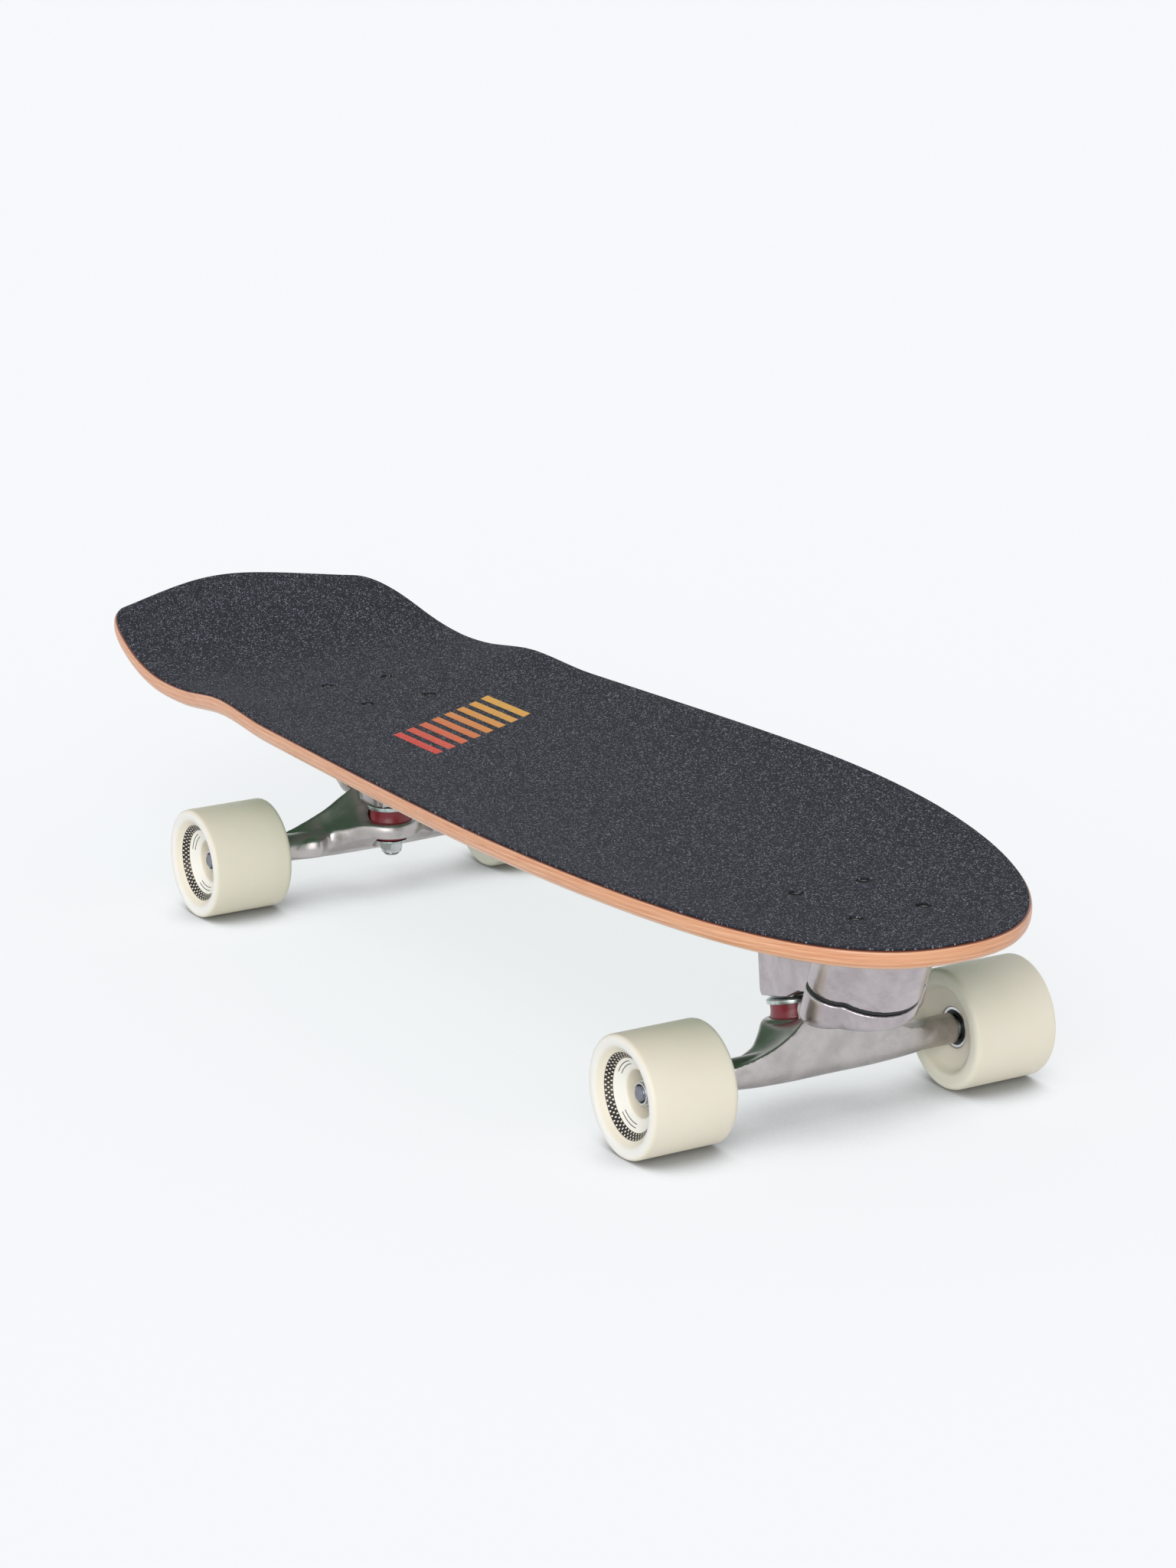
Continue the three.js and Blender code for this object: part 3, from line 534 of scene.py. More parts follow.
def softened(piece, width, level=None):
    """Rounds a box's upright edges or, where a level is given, the rim of the face that lies at it.
    The parts are picked after the mode changes, because those move the mesh's data."""
    only(piece)
    mode("EDIT")
    bpy.ops.mesh.select_all(action="DESELECT")
    bpy.ops.mesh.select_mode(type="EDGE" if level is None else "FACE")
    mode("OBJECT")
    heights = [vertex.co.z / MM for vertex in piece.data.vertices]
    if level is None:
        for edge in piece.data.edges:
            start, stop = (heights[v] for v in edge.vertices)
            edge.select = abs(start - stop) > 1
    else:
        for face in piece.data.polygons:
            face.select = all(abs(heights[v] - level) < 0.01 for v in face.vertices)
    mode("EDIT")
    if level is not None:
        bpy.ops.mesh.region_to_loop()
    bpy.ops.mesh.bevel(offset=width * MM, segments=8, affect="EDGES")
    mode("OBJECT")
    return piece


def sliced(piece, place, direction):
    """Cuts away what lies beyond a plane and closes the cut."""
    plane = {"plane_co": Vector(place) * MM, "plane_no": direction, "use_fill": True, "clear_outer": True}
    return edit(piece, lambda: bpy.ops.mesh.bisect(**plane))


def wrapped(loops):
    """A closed skin through loops of points, from a grid wrapped round and closed at its seam and ends."""
    rows, columns = len(loops), len(loops[0])
    bpy.ops.object.select_all(action="DESELECT")
    bpy.ops.mesh.primitive_grid_add(x_subdivisions=rows - 1, y_subdivisions=columns, size=2)
    piece = bpy.context.object
    for vertex in piece.data.vertices:
        row = round((vertex.co.x + 1) / 2 * (rows - 1))
        column = round((vertex.co.y + 1) / 2 * columns) % columns
        vertex.co = Vector(loops[row][column]) * MM
    return tidy_mesh(piece)


def copied(node):
    """A merged copy of a CAD node."""
    piece = frame["nodes"][node].copy()
    piece.data = piece.data.copy()
    for key in list(piece.keys()):
        del piece[key]
    bpy.context.scene.collection.objects.link(piece)
    piece.parent = None
    piece.matrix_world = Matrix.Identity(4)
    return edit(piece, lambda: bpy.ops.mesh.remove_doubles(threshold=0.00001))


def twin(piece):
    """A second piece with its own mesh."""
    copy = piece.copy()
    copy.data = piece.data.copy()
    bpy.context.scene.collection.objects.link(copy)
    return copy


def moved(piece, *steps):
    """Applies transforms, given in the order in which they happen, to a piece's mesh."""
    for step in steps:
        piece.data.transform(step)
        if step.determinant() < 0:
            piece.data.flip_normals()
    return piece


def face_map(piece):
    """Stores each point's place on a turned piece's own face as a UV map, so that a pattern turns with it."""
    layer = piece.data.uv_layers.new(name="face")
    for loop in piece.data.loops:
        place = piece.data.vertices[loop.vertex_index].co / MM
        layer.data[loop.index].uv = (place.x / FACE_SPAN, place.z / FACE_SPAN)
    piece.data.uv_layers.active = layer
    return piece


# ---- Deck and grit paper ----
NOSE_X, TAIL_END = 416.5, -416.4
AXLES = {end: box_mm(f"{end}_axle")[2] for end in ("front", "rear")}
WHEEL_R = AXLES["front"].z
DECK_TOP, THICKNESS, HALF_WIDTH, TAIL_HALF_WIDTH = 123.3, 10.0, box_mm("deck")[1].y, 105.8
KICK_X, KICK_BEND, KICK_SLOPE = AXLES["rear"].x - 66.7, 60.0, 0.295
FLARE_X, FLARE_REACH = AXLES["rear"].x + 13.3, 62.0
NOSE_LENGTH, NOSE_RISE = 116.5, 2.0
TAIL_X = TAIL_END + 6 * math.sin(math.atan(KICK_SLOPE))
GRIT_INSET = 1.5
BARE_BOLT_WIDTH, NUT_SEAT = 9.3, 106.7


def ease(t):
    t = min(1.0, max(0.0, t))
    return t * t * (3 - 2 * t)


def kick_slope(x):
    return KICK_SLOPE * min(1.0, max(0.0, KICK_X - x) / KICK_BEND)


def top_height(x, y):
    """The deck's upper face: dished along its length, kicked up at the tail, flared over the rear wheels."""
    beyond = max(0.0, KICK_X - x)
    bend = min(beyond, KICK_BEND)
    rise = KICK_SLOPE * (bend * bend / (2 * KICK_BEND) + beyond - bend)
    rise += NOSE_RISE * (max(0.0, x - NOSE_X + NOSE_LENGTH) / NOSE_LENGTH) ** 2
    dish = 0.00122 + (0.00066 - 0.00122) * ease((FLARE_X - x) / (FLARE_X - KICK_X))
    dish += 0.00042 * ease(1 - abs(x - FLARE_X) / FLARE_REACH)
    return DECK_TOP + rise + dish * max(0.0, abs(y) - 24) ** 2


def outline():
    """Half of the deck's outline from tail to nose: (place, outward direction) at each station."""
    corner = (TAIL_X + 27, 0.775 * TAIL_HALF_WIDTH)
    curves = [
        ([(TAIL_X, 0), (TAIL_X, 28), (TAIL_X + 14, 55), corner], 16),
        ([corner, (TAIL_X + 33.5, 96), (TAIL_X + 60, 103.5), (TAIL_X + 125, TAIL_HALF_WIDTH)], 24),
        ([(TAIL_X + 125, TAIL_HALF_WIDTH), (-180, 106.5), (10, HALF_WIDTH), (116, HALF_WIDTH)], 40),
        ([(116, HALF_WIDTH), (250, HALF_WIDTH), (NOSE_X, 94.5), (NOSE_X, 0)], 44),
    ]
    stations = []
    for index, (points, count) in enumerate(curves):
        a, b, c, d = (Vector(point) for point in points)
        for step in range(1 if index else 0, count + 1):
            t, s = step / count, 1 - step / count
            place = a * s**3 + 3 * b * s * s * t + 3 * c * s * t * t + d * t**3
            along = ((b - a) * s * s + 2 * (c - b) * s * t + (d - c) * t * t).normalized()
            stations.append((place, Vector((-along.y, along.x))))
    return stations


STATIONS = outline()
ACROSS = 14


def pressed_sheet(rim, lift):
    """A sheet that follows the deck; each rim entry is (inset, depth), from the top face round to the bottom."""
    shares = [1 - step / ACROSS for step in range(ACROSS + 1)]
    across = [(-1, share) for share in shares] + [(1, share) for share in reversed(shares[:-1])]

    def point(place, outward, inset, depth, side, share):
        x, width = place.x - inset * outward.x, max(0.0, place.y - inset * outward.y)
        y = side * width * share
        tilt = math.atan(kick_slope(x))
        return (x - depth * math.sin(tilt), y, top_height(x, y) + lift - depth * math.cos(tilt))

    loops = []
    for place, outward in STATIONS:
        top, *sides, bottom = rim
        loop = [point(place, outward, *top, *entry) for entry in across]
        loop += [point(place, outward, *entry, 1, 1) for entry in sides]
        loop += [point(place, outward, *bottom, *entry) for entry in reversed(across)]
        loop += [point(place, outward, *entry, -1, 1) for entry in reversed(sides)]
        loops.append(loop)
    return wrapped(loops)


BOLTS = {f"{end}_deck_bolt_{number}": box_mm(f"{end}_deck_bolt_{number}") for end in AXLES for number in range(1, 5)}


def make_deck():
    rim = [(1.5, 0), (0.75, 0.35), (0.2, 1.1), (0, 2.2), (0, 4), (0.25, 6), (0.9, 7.7), (2.0, 9.0)]
    rim += [(3.4, 9.8), (4.8, THICKNESS)]
    deck = pressed_sheet(rim, 0)
    sink = [(0, -25), (2.7, -25), (2.7, -2.5), (5.0, 0), (5.0, 6), (0, 6)]
    sinks = [turned(sink, (middle.x, middle.y, high.z + 0.3), steps=24) for _, high, middle in BOLTS.values()]
    cut(deck, fused(*sinks))
    marks = ("depth", "bore")
    for label in marks:
        deck.data.attributes.new(label, "FLOAT", "POINT")
    depth, bore = (deck.data.attributes[label] for label in marks)  # held only now: adding one can move the other
    for vertex in deck.data.vertices:
        x, y, z = vertex.co / MM
        depth.data[vertex.index].value = (top_height(x, y) - z) * math.cos(math.atan(kick_slope(x)))
        # bore marks the points round each bolt's countersink, where the wood finish paints shade
        near = any(math.hypot(x - middle.x, y - middle.y) < 5.2 for _, _, middle in BOLTS.values())
        bore.data[vertex.index].value = float(near)
    return settle(deck, "maple_deck", MAPLE, "deck", smooth=50)


def make_grit():
    rim = [(GRIT_INSET + 0.25, 0), (GRIT_INSET, 0.25), (GRIT_INSET, 0.7), (GRIT_INSET + 0.1, 0.9)]
    sheet = pressed_sheet(rim, 1.1)
    holes = [rod(4.2, (middle.x, middle.y, DECK_TOP), -4, 8, sides=32) for _, _, middle in BOLTS.values()]
    cut(sheet, fused(*holes))
    return settle(sheet, "grit_sheet", GRIT, "grip_tape", smooth=50)


def make_deck_bolts():
    for name, (low, high, middle) in BOLTS.items():
        centre = (middle.x, middle.y, 0)
        top, bottom = high.z, low.z
        profile = [(0, bottom), (1.9, bottom), (2.4, bottom + 0.6), (2.4, top - 2.6)]
        profile += [(4.5, top - 0.5), (4.5, top - 0.1), (4.2, top), (0, top)]
        bolt = turned(profile, centre, steps=32)
        cut(bolt, rod(1.8, centre, top - 1.7, top + 2, sides=6))
        parts = [bolt]
        if high.x - low.x > BARE_BOLT_WIDTH:
            parts.append(lock_nut(centre, (0, 0, -1), -NUT_SEAT, 5.2, 6.0, 2.3))
        settle(fused(*parts), name.replace("_bolt", "_screw"), BLACK_STEEL, name)


def lock_nut(centre, axis, low, corner, height, hole):
    """A six sided nut with chamfered corners and a round collar at its far end; low is its seat along the axis."""
    top, shoulder = low + height, low + height * 0.7
    hexagon = rod(corner, centre, low, shoulder, axis, sides=6)
    barrel = [(0, low - 0.1), (corner * 0.88, low - 0.1), (corner * 1.02, low + 0.8)]
    barrel += [(corner * 1.02, shoulder - 1.0), (corner * 0.86, shoulder + 0.1), (0, shoulder + 0.1)]
    cut(hexagon, turned(barrel, centre, axis, 48), operation="INTERSECT")
    ring = [(hole, low + height * 0.5, 0), (corner * 0.84, low + height * 0.5, 0), (corner * 0.8, top, 0.9)]
    ring += [(hole + 0.9, top - 0.1, 0.4), (hole, top - 0.8, 0.2)]
    collar = turned(rounded(ring), centre, axis, 48)
    cut(hexagon, rod(hole, centre, low - 1, low + height * 0.6, axis, sides=32))
    return fused(hexagon, collar)


make_deck()
make_grit()
make_deck_bolts()


# ---- Wheels, bearings, axles ----
WHEEL_IN, WHEEL_OUT = (corner.y for corner in box_mm("front_left_wheel")[:2])
INBOARD_FACE = box_mm("front_left_inboard_bearing_outer_ring")[0].y
OUTBOARD_FACE = box_mm("front_left_outboard_bearing_outer_ring")[1].y
BEARING_WIDTH, SPEED_RING, HALF_SPACER = 7, 0.95, 4.8


def wheel_profile():
    profile = [(11.3, OUTBOARD_FACE - 7.3, 0), (9.6, OUTBOARD_FACE - 7.3, 0), (9.6, INBOARD_FACE + 7.3, 0)]
    profile += [(11.3, INBOARD_FACE + 7.3, 0), (11.3, INBOARD_FACE - 0.4, 0.3), (13.0, INBOARD_FACE - 1.2, 1.0)]
    profile += [(21.5, WHEEL_IN + 4.2, 3.5), (24.6, WHEEL_IN, 2.6), (WHEEL_R, WHEEL_IN, 5.5), (WHEEL_R, WHEEL_OUT, 6.0)]
    profile += [(27.2, WHEEL_OUT, 2.2), (23.1, WHEEL_OUT - 3.8, 0.8), (19.2, WHEEL_OUT - 7.4, 0.6)]
    profile += [(12.6, WHEEL_OUT - 11, 1.5), (11.8, WHEEL_OUT - 15.5, 1.5), (11.3, OUTBOARD_FACE + 0.2, 0.3)]
    return rounded(profile, points=6)


def race_profile(low):
    """An outer race with its sunken black shield, in one piece."""
    high = low + BEARING_WIDTH
    profile = [(9.2, high - 1.2), (9.2, low + 1.2), (6.75, low + 0.9), (6.75, low + 0.5), (9.3, low + 0.45)]
    profile += [(9.6, low), (11, low, 0.5), (11, high, 0.5), (9.6, high), (9.3, high - 0.45)]
    return rounded(profile + [(6.75, high - 0.5), (6.75, high - 0.9)], 0.15, 2)


def bore_profile(low, before, after):
    """An inner race with its half spacer on one side and its speed ring on the other, each of its own length."""
    high = low + BEARING_WIDTH
    profile = [(4.3, high + after), (4.3, low - before), (5.3, low - before), (5.5, low, 0.1)]
    return rounded(profile + [(6.1, low), (6.1, high), (5.5, high, 0.1), (5.3, high + after)], 0.3, 2)


WHEEL_TURNS = {"front_left": 20, "front_right": 75, "rear_left": 140, "rear_right": 60}


def make_running_gear():
    origin, across = (0, 0, 0), (0, 1, 0)
    outer_low = OUTBOARD_FACE - BEARING_WIDTH
    profiles = {
        ("wheel", 128): wheel_profile(),
        ("inboard_race", 64): race_profile(INBOARD_FACE),
        ("outboard_race", 64): race_profile(outer_low),
        ("inboard_bore", 48): bore_profile(INBOARD_FACE, SPEED_RING, HALF_SPACER),
        ("outboard_bore", 48): bore_profile(outer_low, HALF_SPACER, SPEED_RING),
    }
    patterns = {label: turned(profile, origin, across, steps) for (label, steps), profile in profiles.items()}
    patterns["lock_nut"] = lock_nut(origin, across, box_mm("front_left_axle_nut")[0].y, 7.35, 6.3, 4.05)
    finishes = {"wheel": CREAM, "lock_nut": NUT}
    nodes = {"wheel": "wheel", "lock_nut": "axle_nut"}
    for where in ("inboard", "outboard"):
        nodes[f"{where}_race"] = f"{where}_bearing_outer_ring"
        nodes[f"{where}_bore"] = f"{where}_bearing_inner_ring"
    for pattern in patterns.values():
        face_map(pattern)
    for end, place in AXLES.items():
        for side in ("left", "right"):
            for label, pattern in patterns.items():
                turn = WHEEL_TURNS[f"{end}_{side}"] if label == "wheel" else 0
                steps = [Matrix.Rotation(math.radians(turn), 4, "Y")]
                if side == "right":
                    steps.append(Matrix.Diagonal((1, -1, 1, 1)))
                steps.append(Matrix.Translation(Vector((place.x, 0, WHEEL_R)) * MM))
                piece, node = moved(twin(pattern), *steps), f"{end}_{side}_{nodes[label]}"
                settle(piece, f"{label}_{end}_{side}", finishes.get(label, BEARING), node, smooth=38)
        tip = box_mm(f"{end}_axle")[1].y
        half = [(4, 0), (4, tip - 9.5)]
        for turn in range(9):
            half += [(3.55, tip - 9.1 + turn), (4, tip - 8.6 + turn)]
        half += [(3.3, tip), (0, tip)]
        profile = half + [(r, -h) for r, h in reversed(half)]
        axle = turned(profile, place, across, 32)
        settle(axle, f"{end}_axle_rod", AXLE_STEEL, f"{end}_axle")
    for pattern in patterns.values():
        bpy.data.objects.remove(pattern)


make_running_gear()


# ---- Trucks ----
def truck_place(end):
    """The middle of a truck's axle, and the way from it to its kingpin along X."""
    return AXLES[end], (-1 if end == "front" else 1)


def in_truck(end, x, y, z):
    middle, way = truck_place(end)
    return Vector((middle.x + way * x, y, middle.z + z))


REACH = {end: abs(box_mm(f"{end}_kingpin")[2].x - AXLES[end].x) for end in AXLES}
YOKE_MIDDLE = 9.25
PIVOT = math.radians(30)


def steering_axis(end):
    """The axis from the yoke's middle up to the pivot cup."""
    _, way = truck_place(end)
    return Vector((-way * math.cos(PIVOT), 0, math.sin(PIVOT)))


def kingpin_line(end):
    """Where the kingpin passes the axle's level, and its axis; the front one leans back, as its unit is wedged."""
    lean = math.radians(13 if end == "front" else 0)
    axis = Vector((-math.sin(lean), 0, math.cos(lean)))
    return in_truck(end, REACH[end], 0, YOKE_MIDDLE) - axis * YOKE_MIDDLE, axis


def along_steering(end, profile, steps=48):
    return turned(profile, in_truck(end, REACH[end], 0, YOKE_MIDDLE), steering_axis(end), steps)


def read_curve(knots, place):
    """Reads a smooth curve through a short table of (place, value), level at both ends."""
    last = len(knots) - 1
    place = min(max(place, knots[0][0]), knots[last][0])
    index = max(i for i in range(last) if knots[i][0] <= place)

    def lean(i):
        return 0 if i in (0, last) else (knots[i + 1][1] - knots[i - 1][1]) / (knots[i + 1][0] - knots[i - 1][0])

    (a, low), (b, high) = knots[index], knots[index + 1]
    t = (place - a) / (b - a)
    ends = (2 * t**3 - 3 * t**2 + 1) * low + (3 * t**2 - 2 * t**3) * high
    return ends + ((t**3 - 2 * t**2 + t) * lean(index) + (t**3 - t**2) * lean(index + 1)) * (b - a)


# Tables of (distance across, value) for the two castings: the wall by the axle and the shoulder by the kingpin.
WALL_TOP = {
    "front": [(0, 30.5), (10, 30), (18.5, 24.5), (24.4, 19.2), (36, 12.8), (47.7, 8.8), (58, 6.4), (70, 3)],
    "rear": [(0, 33), (8, 31.2), (14, 28.6), (23, 23), (32, 17.6), (41, 13.6), (50, 10.4), (58, 8), (70, 3)],
}
WALL_LEAN = {"front": 1.0, "rear": 3.5}
RIM_BY_YOKE = [(0, 15.6), (4, 15.2), (8, 13.9), (12, 11.5), (15, 8.6), (18, 4.9), (21, 1), (24, -2.9)]
RIM_BY_YOKE += [(29, -8.4), (36, -15)]
SIDE_BY_YOKE = [(0, 17.9), (4, 17.5), (8, 16.2), (12, 13.8), (15, 11), (18, 7.4), (21, 3.6), (24, 0)]
SIDE_BY_YOKE += [(29, -5.1), (36, -11.4)]
RIM_BY_WHEEL = [(44, 8.8), (52, 5.6), (58, 3.6), (70, 1)]
SIDE_BY_WHEEL = [(44, 12.9), (52, 10.4), (58, 8.9), (70, 5)]
SHOULDER_X = {end: [(y, REACH[end] + x) for y, x in RIM_BY_YOKE] + RIM_BY_WHEEL for end in AXLES}
SIDE_X = {end: [(y, REACH[end] + x) for y, x in SIDE_BY_YOKE] + SIDE_BY_WHEEL for end in AXLES}
SHOULDER_TOP = [(0, 14), (12, 14), (17, 13.8), (21, 12.8), (24, 11.6), (29, 9.8), (36, 7.8)]
SHOULDER_TOP += [(44, 6.3), (52, 5.2), (58, 4.6), (70, 2.5)]
SHOULDER_FOOT = [(0, 4.6), (12, 4.6), (17, 4.2), (21, 3), (24, 1.4), (29, -1.2), (36, -4), (44, -6), (58, -6), (70, -4)]
WALL_X = [(0, -10), (30, -10), (58, -8.3), (70, -5)]


def hanger_loop(end, y):
    """The hanger's section at a distance across: its wall by the axle, its scoop and its shoulder, as (x, z)."""
    out = abs(y)
    wall_x, wall_top = read_curve(WALL_X, out), read_curve(WALL_TOP[end], out)
    lean = WALL_LEAN[end] * min(1, wall_top / 30)
    rim_x, side_x = read_curve(SHOULDER_X[end], out), read_curve(SIDE_X[end], out)
    drop = (rim_x - REACH[end]) * 0.23 * (1 - ease((out - 12) / 22)) if end == "front" else 0
    rim_top, foot = read_curve(SHOULDER_TOP, out) - drop, read_curve(SHOULDER_FOOT, out) - drop
    edge = wall_x + lean + 1.6
    loop = [(wall_x + lean, wall_top)]
    for step in range(13):
        share = step / 12
        loop.append((edge + (rim_x - edge) * share, rim_top + (wall_top - rim_top) * (1 - share) ** 2.3))
    loop += [(side_x - (side_x - rim_x) * 0.3, rim_top - 1.6), (side_x, (rim_top + foot) / 2)]
    loop += [(side_x * 0.94, foot + 0.4), (side_x * 0.72, foot - 0.3), (side_x * 0.4, foot * 0.35 - 5.5)]
    for step in range(6):
        angle = TURN / 4 * (1 - step / 5)
        loop.append((wall_x * math.cos(angle), wall_x * math.sin(angle)))
    return loop + [(wall_x + lean * 0.5, wall_top * 0.5)]


def make_hanger(end):
    middle, _ = truck_place(end)
    across = (0, 1, 0)
    half = box_mm(f"{end}_hanger")[1].y
    tube = turned(rounded([(0, -half), (8.3, -half, 0.8), (8.3, half, 0.8), (0, half)]), middle, across, 72)
    rows, reach = 88, 70
    stations = [-reach + 2 * reach * row / rows for row in range(rows + 1)]
    loops = [[in_truck(end, x, y, z) for x, z in hanger_loop(end, y)] for y in stations]
    closing = [[sum(loop, Vector()) / len(loop)] * len(loop) for loop in (loops[0], loops[-1])]
    web = wrapped([closing[0], *loops, closing[1]])
    centre, kingpin_axis = kingpin_line(end)
    yoke = turned(rounded([(0, 4.5), (17.2, 4.5, 2.0), (17.6, 14, 2.2), (0, 14)]), centre, kingpin_axis, 72)
    neck = along_steering(end, rounded([(0, 22), (11.9, 22, 0), (10.4, 37.5, 2), (0, 38)], points=5))
    piece = cast(tube, web, yoke, neck, rounds=14)
    low_seat, high_seat = 7.5, 11.5
    relief = along_steering(end, [(0, 41.5), (15.5, 41.5), (15.5, 75), (0, 75)])
    seats = [(0, -14), (11.4, -14), (11.4, low_seat), (8.5, low_seat), (8.5, high_seat)]
    seats += [(13.75, high_seat), (13.75, 30), (0, 30)]
    cut(piece, relief, turned(seats, centre, kingpin_axis, 64), rod(4.3, middle, -200, 200, across, 32))
    tip = [(0, 36), (9.6, 36, 0), (7.4, 41.5, 1), (6.2, 44, 1), (6.2, 47.5, 2), (4.2, 49.9, 1), (0, 49.9)]
    piece = fused(piece, along_steering(end, rounded(tip)))
    return settle(piece, f"{end}_cast_hanger", TUMBLED, f"{end}_hanger", smooth=40)


def bends_between(end, piece):
    """Bakes a cushion's place into its mesh; the cushion is not made to bend, and rides on no body."""
    centre, axis = kingpin_line(end)
    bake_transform(piece)


def make_kingpin_stack(end):
    centre, axis = kingpin_line(end)
    level = AXLES[end].z

    def span(label):
        low, high, _ = box_mm(f"{end}_{label}")
        return low.z - level, high.z - level

    def stacked(profile, steps, name, finish, label, **options):
        piece = turned(rounded(*profile), centre, axis, steps)
        return settle(piece, f"{end}_{name}", finish, f"{end}_{label}", **options)

    low, high = span("upper_bushing")
    barrel = [(5.9, low), (13.3, low, 0.8), (13.3, low + 2.4, 0.6), (12.5, (low + high) / 2, 3)]
    barrel += [(12.6, high, 0.8), (5.9, high)]
    piece = stacked((barrel, 0.3), 72, "upper_cushion", RED, "upper_bushing", bends=True)
    bends_between(end, piece)
    low, high = span("lower_bushing")
    cone = [(5.9, low), (9.1, low, 0.9), (10.5, high, 0.9), (5.9, high)]
    piece = stacked((cone, 0.3), 72, "lower_cushion", RED, "lower_bushing", bends=True)
    bends_between(end, piece)
    low, high = span("upper_washer")
    lid = [(5.05, high - 1.6), (13.2, high - 1.6, 0.3), (13.2, low, 0.1), (14.1, low, 0.3)]
    lid += [(14.2, high - 1.1, 0.4), (12.4, high, 0.9), (5.05, high)]
    stacked((lid, 0.2), 72, "cup_washer", TINTED_ZINC, "upper_washer")
    low, high = span("lower_washer")
    dish = [(5.05, low), (8.2, low, 0.4), (9.55, low + 0.6, 0.4), (9.55, high, 0.3), (5.05, high)]
    stacked((dish, 0.2), 64, "dish_washer", TINTED_ZINC, "lower_washer")
    low, high = span("kingpin_nut")
    settle(lock_nut(centre, -axis, -high, 7.5, 6, 4.9), f"{end}_kingpin_lock_nut", ZINC, f"{end}_kingpin_nut")
    low, high = span("kingpin")
    profile = [(0, low), (3.9, low), (4.7, low + 0.8)]
    for turn in range(7):
        profile += [(4.2, low + 1.3 + turn), (4.7, low + 1.8 + turn)]
    profile += [(4.7, high - 5.5), (0, high - 5.5)]
    shank = turned(profile, centre, axis, 32)
    head = rod(8, centre, high - 6, high, axis, 6)
    corners = [(0, high - 6.1), (8.1, high - 6.1), (8.1, high - 1), (6.8, high + 0.1), (0, high + 0.1)]
    cut(head, turned(corners, centre, axis), operation="INTERSECT")
    settle(fused(shank, head), f"{end}_kingpin_bolt", ZINC, f"{end}_kingpin")
    cup = [(0, 50.6, 0), (4.8, 49.6, 0.4), (6.5, 46.5, 1), (6.5, 43.2), (9.0, 43.2), (9.1, 53.9), (0, 53.9)]
    settle(along_steering(end, rounded(cup, 0.5)), f"{end}_rubber_pivot_cup", POLYMER, f"{end}_pivot_cup")


for end in AXLES:
    make_hanger(end)
    make_kingpin_stack(end)


# ---- Front steering unit and rear baseplate ----
PLATE_HIGH = box_mm("rear_baseplate")[1].z
PLATE_LOW = PLATE_HIGH - 6
SWING = Vector((AXLES["front"].x + 41.3, 0, 82))
TILT = math.radians(20)
SWING_AXIS = Vector((math.sin(TILT), 0, math.cos(TILT)))
FORWARD = Vector((math.cos(TILT), 0, -math.sin(TILT)))
HOUSING_R, LOBE_R, LOBE_BACK, LOBE_OUT = 26.5, 15.5, -3, 19
ARM_FOOT = 62.5


def on_swing(x, y, z):
    """A place in the swing's own frame, x forward of its axis and z up along it."""
    return SWING + FORWARD * x + Vector((0, y, 0)) + SWING_AXIS * z


def housing(low, high, edge):
    """The barrel and its two lobes between two heights on the swing axis."""
    barrel = rod(HOUSING_R, SWING, low, high, SWING_AXIS, 120, edge)
    centres = [on_swing(LOBE_BACK, side * LOBE_OUT, 0) for side in (1, -1)]
    lobes = [rod(LOBE_R, centre, low, high, SWING_AXIS, 96, edge) for centre in centres]
    return [barrel, *lobes]


def bolt_clearances(end):
    boxes = [box for name, box in BOLTS.items() if name.startswith(end)]
    return [rod(2.7, (middle.x, middle.y, 0), low.z - 0.3, 130, sides=24) for low, _, middle in boxes]


def kingpin_bores(end):
    centre, axis = kingpin_line(end)
    return [rod(5.05, centre, 0, 90, axis, 32), rod(8.3, centre, 58.7, 90, axis, 6)]


def pivot_bore(end):
    return along_steering(end, [(0, 30), (9.5, 30), (9.5, 54.3), (0, 54.3)])


def pivot_boss(end):
    return along_steering(end, rounded([(0, 43, 0), (13.6, 43, 1.5), (14, 61.5, 1.5), (0, 62, 0)]))


def make_front_base():
    shells = [sliced(piece, (0, 0, PLATE_LOW + 2), (0, 0, 1)) for piece in housing(1.2, 60, 0.9)]
    middle = AXLES["front"].x + 32.8
    plate = softened(block((middle - 44, -29, PLATE_LOW), (middle + 44, 29, PLATE_HIGH)), 9)
    piece = cast(*shells, plate, rounds=4)
    cavity = [(0, -5), (16.6, -5), (16.6, 19), (8.3, 19), (8.3, 24), (10.3, 24), (10.3, 60), (0, 60)]
    cut(piece, turned(cavity, SWING, SWING_AXIS), *bolt_clearances("front"))
    return settle(piece, "front_swing_housing", POLISHED, "front_base", smooth=40)


def arm_neck():
    """The kingpin tower and its cheeks, drawn from the side as (distance from the axle toward the tail, height)."""
    reach = REACH["front"]
    side = [(reach + 12.4, 56.1), (reach + 14.2, 58.4), (reach + 17.3, 97.3), (4.4, 97.3), (-10, 92.1)]
    side += [(-28, 85.5), (-28, 70), (-10, 70), (4, 68.4), (reach - 12, 61.8), (reach, 58.9)]
    middle = AXLES["front"].x
    centre = [sum(values) / len(side) for values in zip(*side)]
    loops = []
    edge = [(14.5, 0), (14.5, 0.955), (13.6, 0.985), (12, 1)]
    for y, share in [(-y, share) for y, share in edge] + edge[::-1]:
        places = [(c + (value - c) * share for value, c in zip(place, centre)) for place in side]
        loops.append([Vector((middle - x, y, z)) for x, z in places])
    return wrapped(loops)


